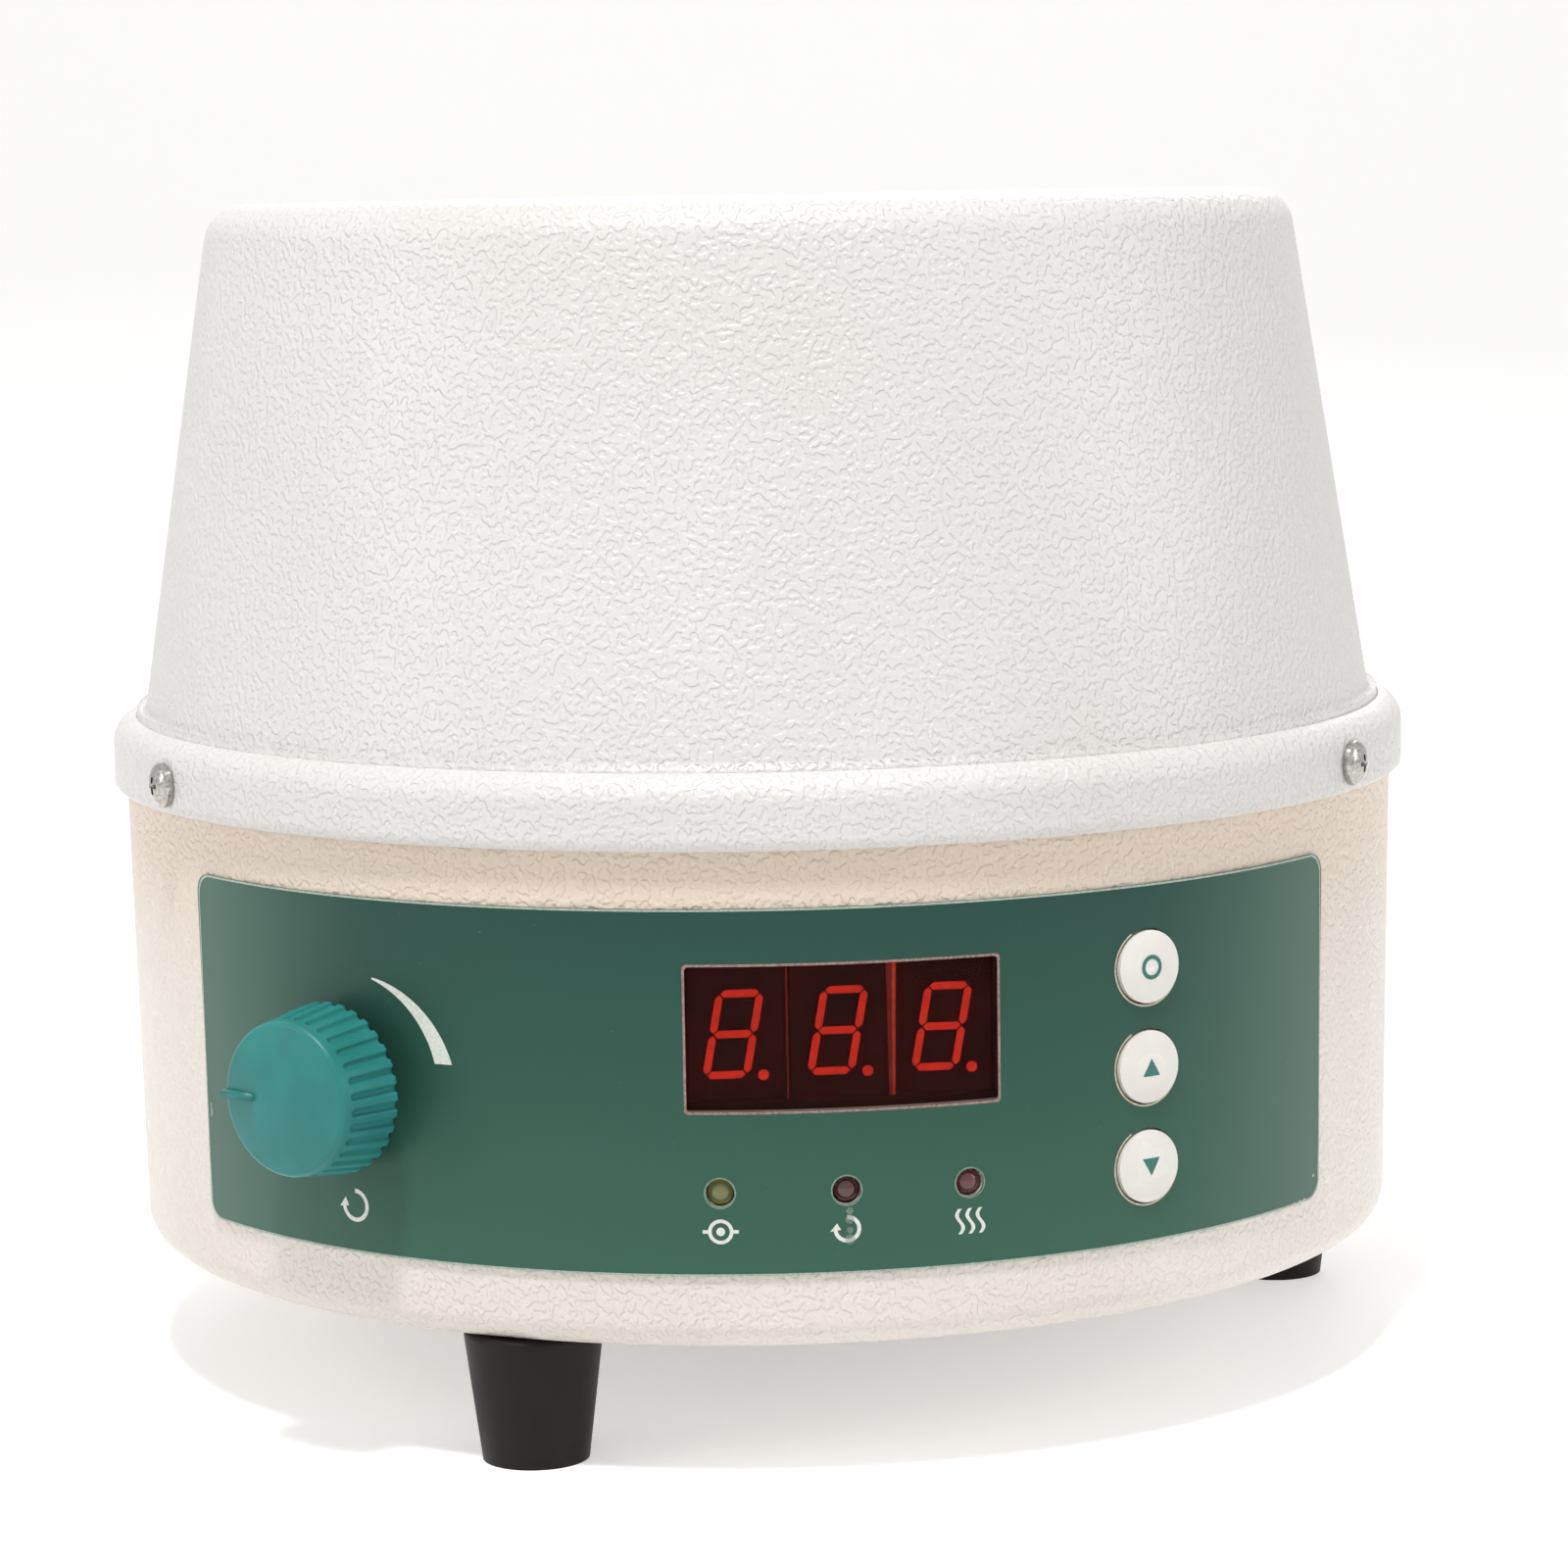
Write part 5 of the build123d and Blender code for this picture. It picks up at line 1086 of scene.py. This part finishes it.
stitch_source = solid_object("one_stitch", stitch_mesh())
bpy.context.scene.collection.objects.unlink(stitch_source)
print("stitch faces:", len(stitch_source.data.polygons))

# %% The spiral rule and the stitches along it
yarn_tree, yarn_in, yarn_out = new_tree("yarn_spiral", [
    ("Radius", "NodeSocketFloat"), ("Centre Height", "NodeSocketFloat"), ("Turns", "NodeSocketFloat"),
    ("First Angle", "NodeSocketFloat"), ("Last Angle", "NodeSocketFloat"),
    ("Stitch Length", "NodeSocketFloat"), ("Stitch", "NodeSocketObject")])
yarn_line = add_node(yarn_tree, "GeometryNodeCurvePrimitiveLine")
yarn_fine = add_node(yarn_tree, "GeometryNodeResampleCurve", {"Curve": yarn_line.outputs["Curve"],
                                                              "Count": 3000})
along = add_node(yarn_tree, "GeometryNodeSplineParameter").outputs["Factor"]
span = add_node(yarn_tree, "ShaderNodeMath", {0: yarn_in.outputs["Last Angle"],
                                              1: yarn_in.outputs["First Angle"]},
                operation="SUBTRACT")
polar = add_node(yarn_tree, "ShaderNodeMath", {0: along, 1: span.outputs["Value"],
                                               2: yarn_in.outputs["First Angle"]},
                 operation="MULTIPLY_ADD")
turns_done = add_node(yarn_tree, "ShaderNodeMath", {0: along, 1: yarn_in.outputs["Turns"]},
                      operation="MULTIPLY")
round_turn = add_node(yarn_tree, "ShaderNodeMath", {0: turns_done.outputs["Value"], 1: 2 * pi},
                      operation="MULTIPLY")
polar_sine, polar_cosine, turn_sine, turn_cosine = [
    add_node(yarn_tree, "ShaderNodeMath", {0: angle.outputs["Value"]}, operation=rule).outputs["Value"]
    for angle in (polar, round_turn) for rule in ("SINE", "COSINE")]
wide, deep = [
    add_node(yarn_tree, "ShaderNodeMath", {0: yarn_in.outputs["Radius"], 1: part},
             operation="MULTIPLY").outputs["Value"]
    for part in (polar_sine, polar_cosine)]
yarn_x, yarn_y = [
    add_node(yarn_tree, "ShaderNodeMath", {0: wide, 1: part}, operation="MULTIPLY").outputs["Value"]
    for part in (turn_cosine, turn_sine)]
yarn_z = add_node(yarn_tree, "ShaderNodeMath", {0: yarn_in.outputs["Centre Height"], 1: deep},
                  operation="SUBTRACT").outputs["Value"]
yarn_spot = add_node(yarn_tree, "ShaderNodeCombineXYZ", {"X": yarn_x, "Y": yarn_y, "Z": yarn_z})
yarn_bent = add_node(yarn_tree, "GeometryNodeSetPosition", {"Geometry": yarn_fine.outputs["Curve"],
                                                            "Position": yarn_spot.outputs["Vector"]})
yarn_points = add_node(yarn_tree, "GeometryNodeCurveToPoints",
                       {"Curve": yarn_bent.outputs["Geometry"],
                        "Length": yarn_in.outputs["Stitch Length"]}, mode="LENGTH")
yarn_shape = add_node(yarn_tree, "GeometryNodeObjectInfo", {"Object": yarn_in.outputs["Stitch"]})
spot_place = add_node(yarn_tree, "GeometryNodeInputPosition")
centre = add_node(yarn_tree, "ShaderNodeCombineXYZ", {"Z": yarn_in.outputs["Centre Height"]})
inwards = add_node(yarn_tree, "ShaderNodeVectorMath", {0: centre.outputs["Vector"],
                                                       1: spot_place.outputs["Position"]},
                   operation="SUBTRACT")
aimed = add_node(yarn_tree, "FunctionNodeAlignRotationToVector",
                 {"Vector": yarn_points.outputs["Tangent"]}, axis="Z")
turned = add_node(yarn_tree, "FunctionNodeAlignRotationToVector",
                  {"Rotation": aimed.outputs["Rotation"], "Vector": inwards.outputs["Vector"]},
                  axis="Y", pivot_axis="Z")
yarn_copies = add_node(yarn_tree, "GeometryNodeInstanceOnPoints",
                       {"Points": yarn_points.outputs["Points"],
                        "Instance": yarn_shape.outputs["Geometry"],
                        "Rotation": turned.outputs["Rotation"]})
finish_tree(yarn_tree, yarn_copies.outputs["Instances"], glass_yarn, yarn_out)
stitch_sink, stitch_pitch, yarn_turns = 0.1, 3.4, 27.0
grow("bowl_stitches", yarn_tree,
     {"Radius": (bowl_radius - stitch_sink) * MM, "Centre Height": bowl_z * MM, "Turns": yarn_turns,
      "First Angle": radians(3), "Last Angle": radians(91), "Stitch Length": stitch_pitch * MM,
      "Stitch": stitch_source}, "housing")

# %% [markdown]
# ## Rocker marks
# The power rocker on the back carries the two plain signs for on and off, a bar and a ring, pad
# printed in white. They lie on its two slopes and ride on the rocker, so that they tilt with it.

# %% Signs on the rocker
rocker_pivot, rocker_tilt = Vector((-14.0, 92.0, 65.0)), radians(10)
rocker_side = Vector((cos(rocker_tilt), -sin(rocker_tilt), 0))
rocker_out = Vector((sin(rocker_tilt), cos(rocker_tilt), 0))
rocker_middle, rocker_end, rocker_half = 1.4, 0.9, 6.8


def on_rocker(u, height):
    """Point on the rocker's face, u across it and height from its middle."""
    rise = rocker_middle + rocker_end * abs(u) / rocker_half + ink_lift
    return (rocker_pivot + rocker_side * u + rocker_out * rise + Vector((0, 0, height))) * MM


rocker_signs = [bar(4.3, -1.3, 4.3, 1.3, 0.5), ring(-4.3, 0, 0.95, 1.4, steps=32)]
sign_verts, sign_faces = [], []
for left, right in rocker_signs:
    start = len(sign_verts)
    sign_verts += [on_rocker(*p) for pair in zip(left, right) for p in pair]
    sign_faces += [(start + 2 * i, start + 2 * i + 2, start + 2 * i + 3, start + 2 * i + 1)
                   for i in range(len(left) - 1)]
add_piece("rocker_signs", sign_verts, sign_faces, ink_white, "rocker", "black_plastic")
print("rocker signs ready")

# %% [markdown]
# ## Floor, light and camera
# The object stands on a pale sweep that runs up behind it. A small lamp above and in front draws the
# grain and the shadows, soft windows on both sides and behind fill them, and the world does the rest.
# The sweep and the world are whiter to a ray that sees them directly, and that light stays off the
# object.

# %% Sweep
def studio_sweep():
    steps, near, far, bend, tall, half = 16, -2.5, 2.2, 0.8, 3.5, 4.0
    line = [(near, 0.0), (far - bend, 0.0)]
    line += [(far - bend + bend * sin(pi / 2 * i / steps), bend - bend * cos(pi / 2 * i / steps))
             for i in range(1, steps + 1)]
    line.append((far, tall))
    verts = [(x, y, z) for y, z in line for x in (-half, half)]
    faces = [(2 * i, 2 * i + 1, 2 * i + 3, 2 * i + 2) for i in range(len(line) - 1)]
    mesh = bpy.data.meshes.new("studio_sweep")
    mesh.from_pydata(verts, [], faces)
    mesh.polygons.foreach_set("use_smooth", [True] * len(mesh.polygons))
    sweep = bpy.data.objects.new("studio_sweep", mesh)
    bpy.context.scene.collection.objects.link(sweep)
    return sweep


def seen_directly(tree):
    """1 for a ray from the camera, off a glossy face or through glass, and 0 for any other."""
    ray = add_node(tree, "ShaderNodeLightPath")
    bent = add_node(tree, "ShaderNodeMath", {0: ray.outputs["Is Glossy Ray"],
                                             1: ray.outputs["Is Transmission Ray"]},
                    operation="MAXIMUM")
    return add_node(tree, "ShaderNodeMath", {0: ray.outputs["Is Camera Ray"],
                                             1: bent.outputs["Value"]}, operation="MAXIMUM")


sweep = studio_sweep()
sweep_paint, sweep_tree, sweep_shader = new_finish("matt_backdrop_paint", "#fbfbfa", 0.9)
sweep_level = 0.42
sweep_glow = add_node(sweep_tree, "ShaderNodeMath",
                      {0: seen_directly(sweep_tree).outputs["Value"], 1: sweep_level},
                      operation="MULTIPLY")
sweep_tree.links.new(sweep_glow.outputs["Value"], sweep_shader.inputs["Emission Strength"])
sweep_shader.inputs["Emission Color"].default_value = (1, 1, 1, 1)
sweep.data.materials.append(sweep_paint)
print("sweep ready")

# %% World and lamps
scene = bpy.context.scene
world = scene.world or bpy.data.worlds.new("studio")
scene.world = world
world.use_nodes = True
background = world.node_tree.nodes["Background"]
background.inputs["Color"].default_value = (1.0, 0.99, 0.98, 1)
fill_level, seen_level = 0.38, 0.62
world_level = add_node(world.node_tree, "ShaderNodeMath",
                       {0: seen_directly(world.node_tree).outputs["Value"], 1: seen_level,
                        2: fill_level}, operation="MULTIPLY_ADD")
world.node_tree.links.new(world_level.outputs["Value"], background.inputs["Strength"])


def soft_lamp(name, place, aim, size, watts, colour=(1, 1, 1)):
    light = bpy.data.lights.new(name, "AREA")
    light.shape, light.size, light.size_y = "RECTANGLE", size[0], size[1]
    light.energy, light.color = watts, colour
    lamp = bpy.data.objects.new(name, light)
    lamp.matrix_world = Matrix.Translation(place) @ (
        (Vector(aim) - Vector(place)).to_track_quat("-Z", "Y").to_matrix().to_4x4())
    scene.collection.objects.link(lamp)
    return lamp


soft_lamp("ceiling_lamp", (-0.1, -0.5, 1.2), (0.0, 0.0, 0.1), (0.16, 0.15), 10.0, (1.0, 0.98, 0.96))
soft_lamp("left_window", (-1.4, -0.5, 0.7), (0, 0, 0.1), (0.5, 0.8), 3.2)
soft_lamp("right_window", (1.4, -0.4, 0.6), (0, 0, 0.1), (0.5, 0.8), 2.9)
soft_lamp("back_window", (0.2, 1.3, 0.9), (0, 0, 0.1), (0.9, 0.6), 5.0)
print("lamps ready")

# %% Camera
lens_mm, pitch, yaw, roll = 105.22, 0.1303, 0.0055, -0.018
camera_data = bpy.data.cameras.new("camera")
camera_data.lens, camera_data.sensor_width = lens_mm, 36
camera = bpy.data.objects.new("camera", camera_data)
scene.collection.objects.link(camera)
forward = Vector((sin(yaw) * cos(pitch), cos(yaw) * cos(pitch), -sin(pitch)))
level_right = Vector((cos(yaw), -sin(yaw), 0))
level_down = forward.cross(level_right)
right = level_right * cos(roll) - level_down * sin(roll)
down = level_right * sin(roll) + level_down * cos(roll)
camera.matrix_world = Matrix.Translation((0, -0.7136, 0.1787)) @ (
    Matrix((right, -down, -forward)).transposed().to_4x4())
scene.camera = camera
scene.view_settings.view_transform = "Standard"
print("camera ready")
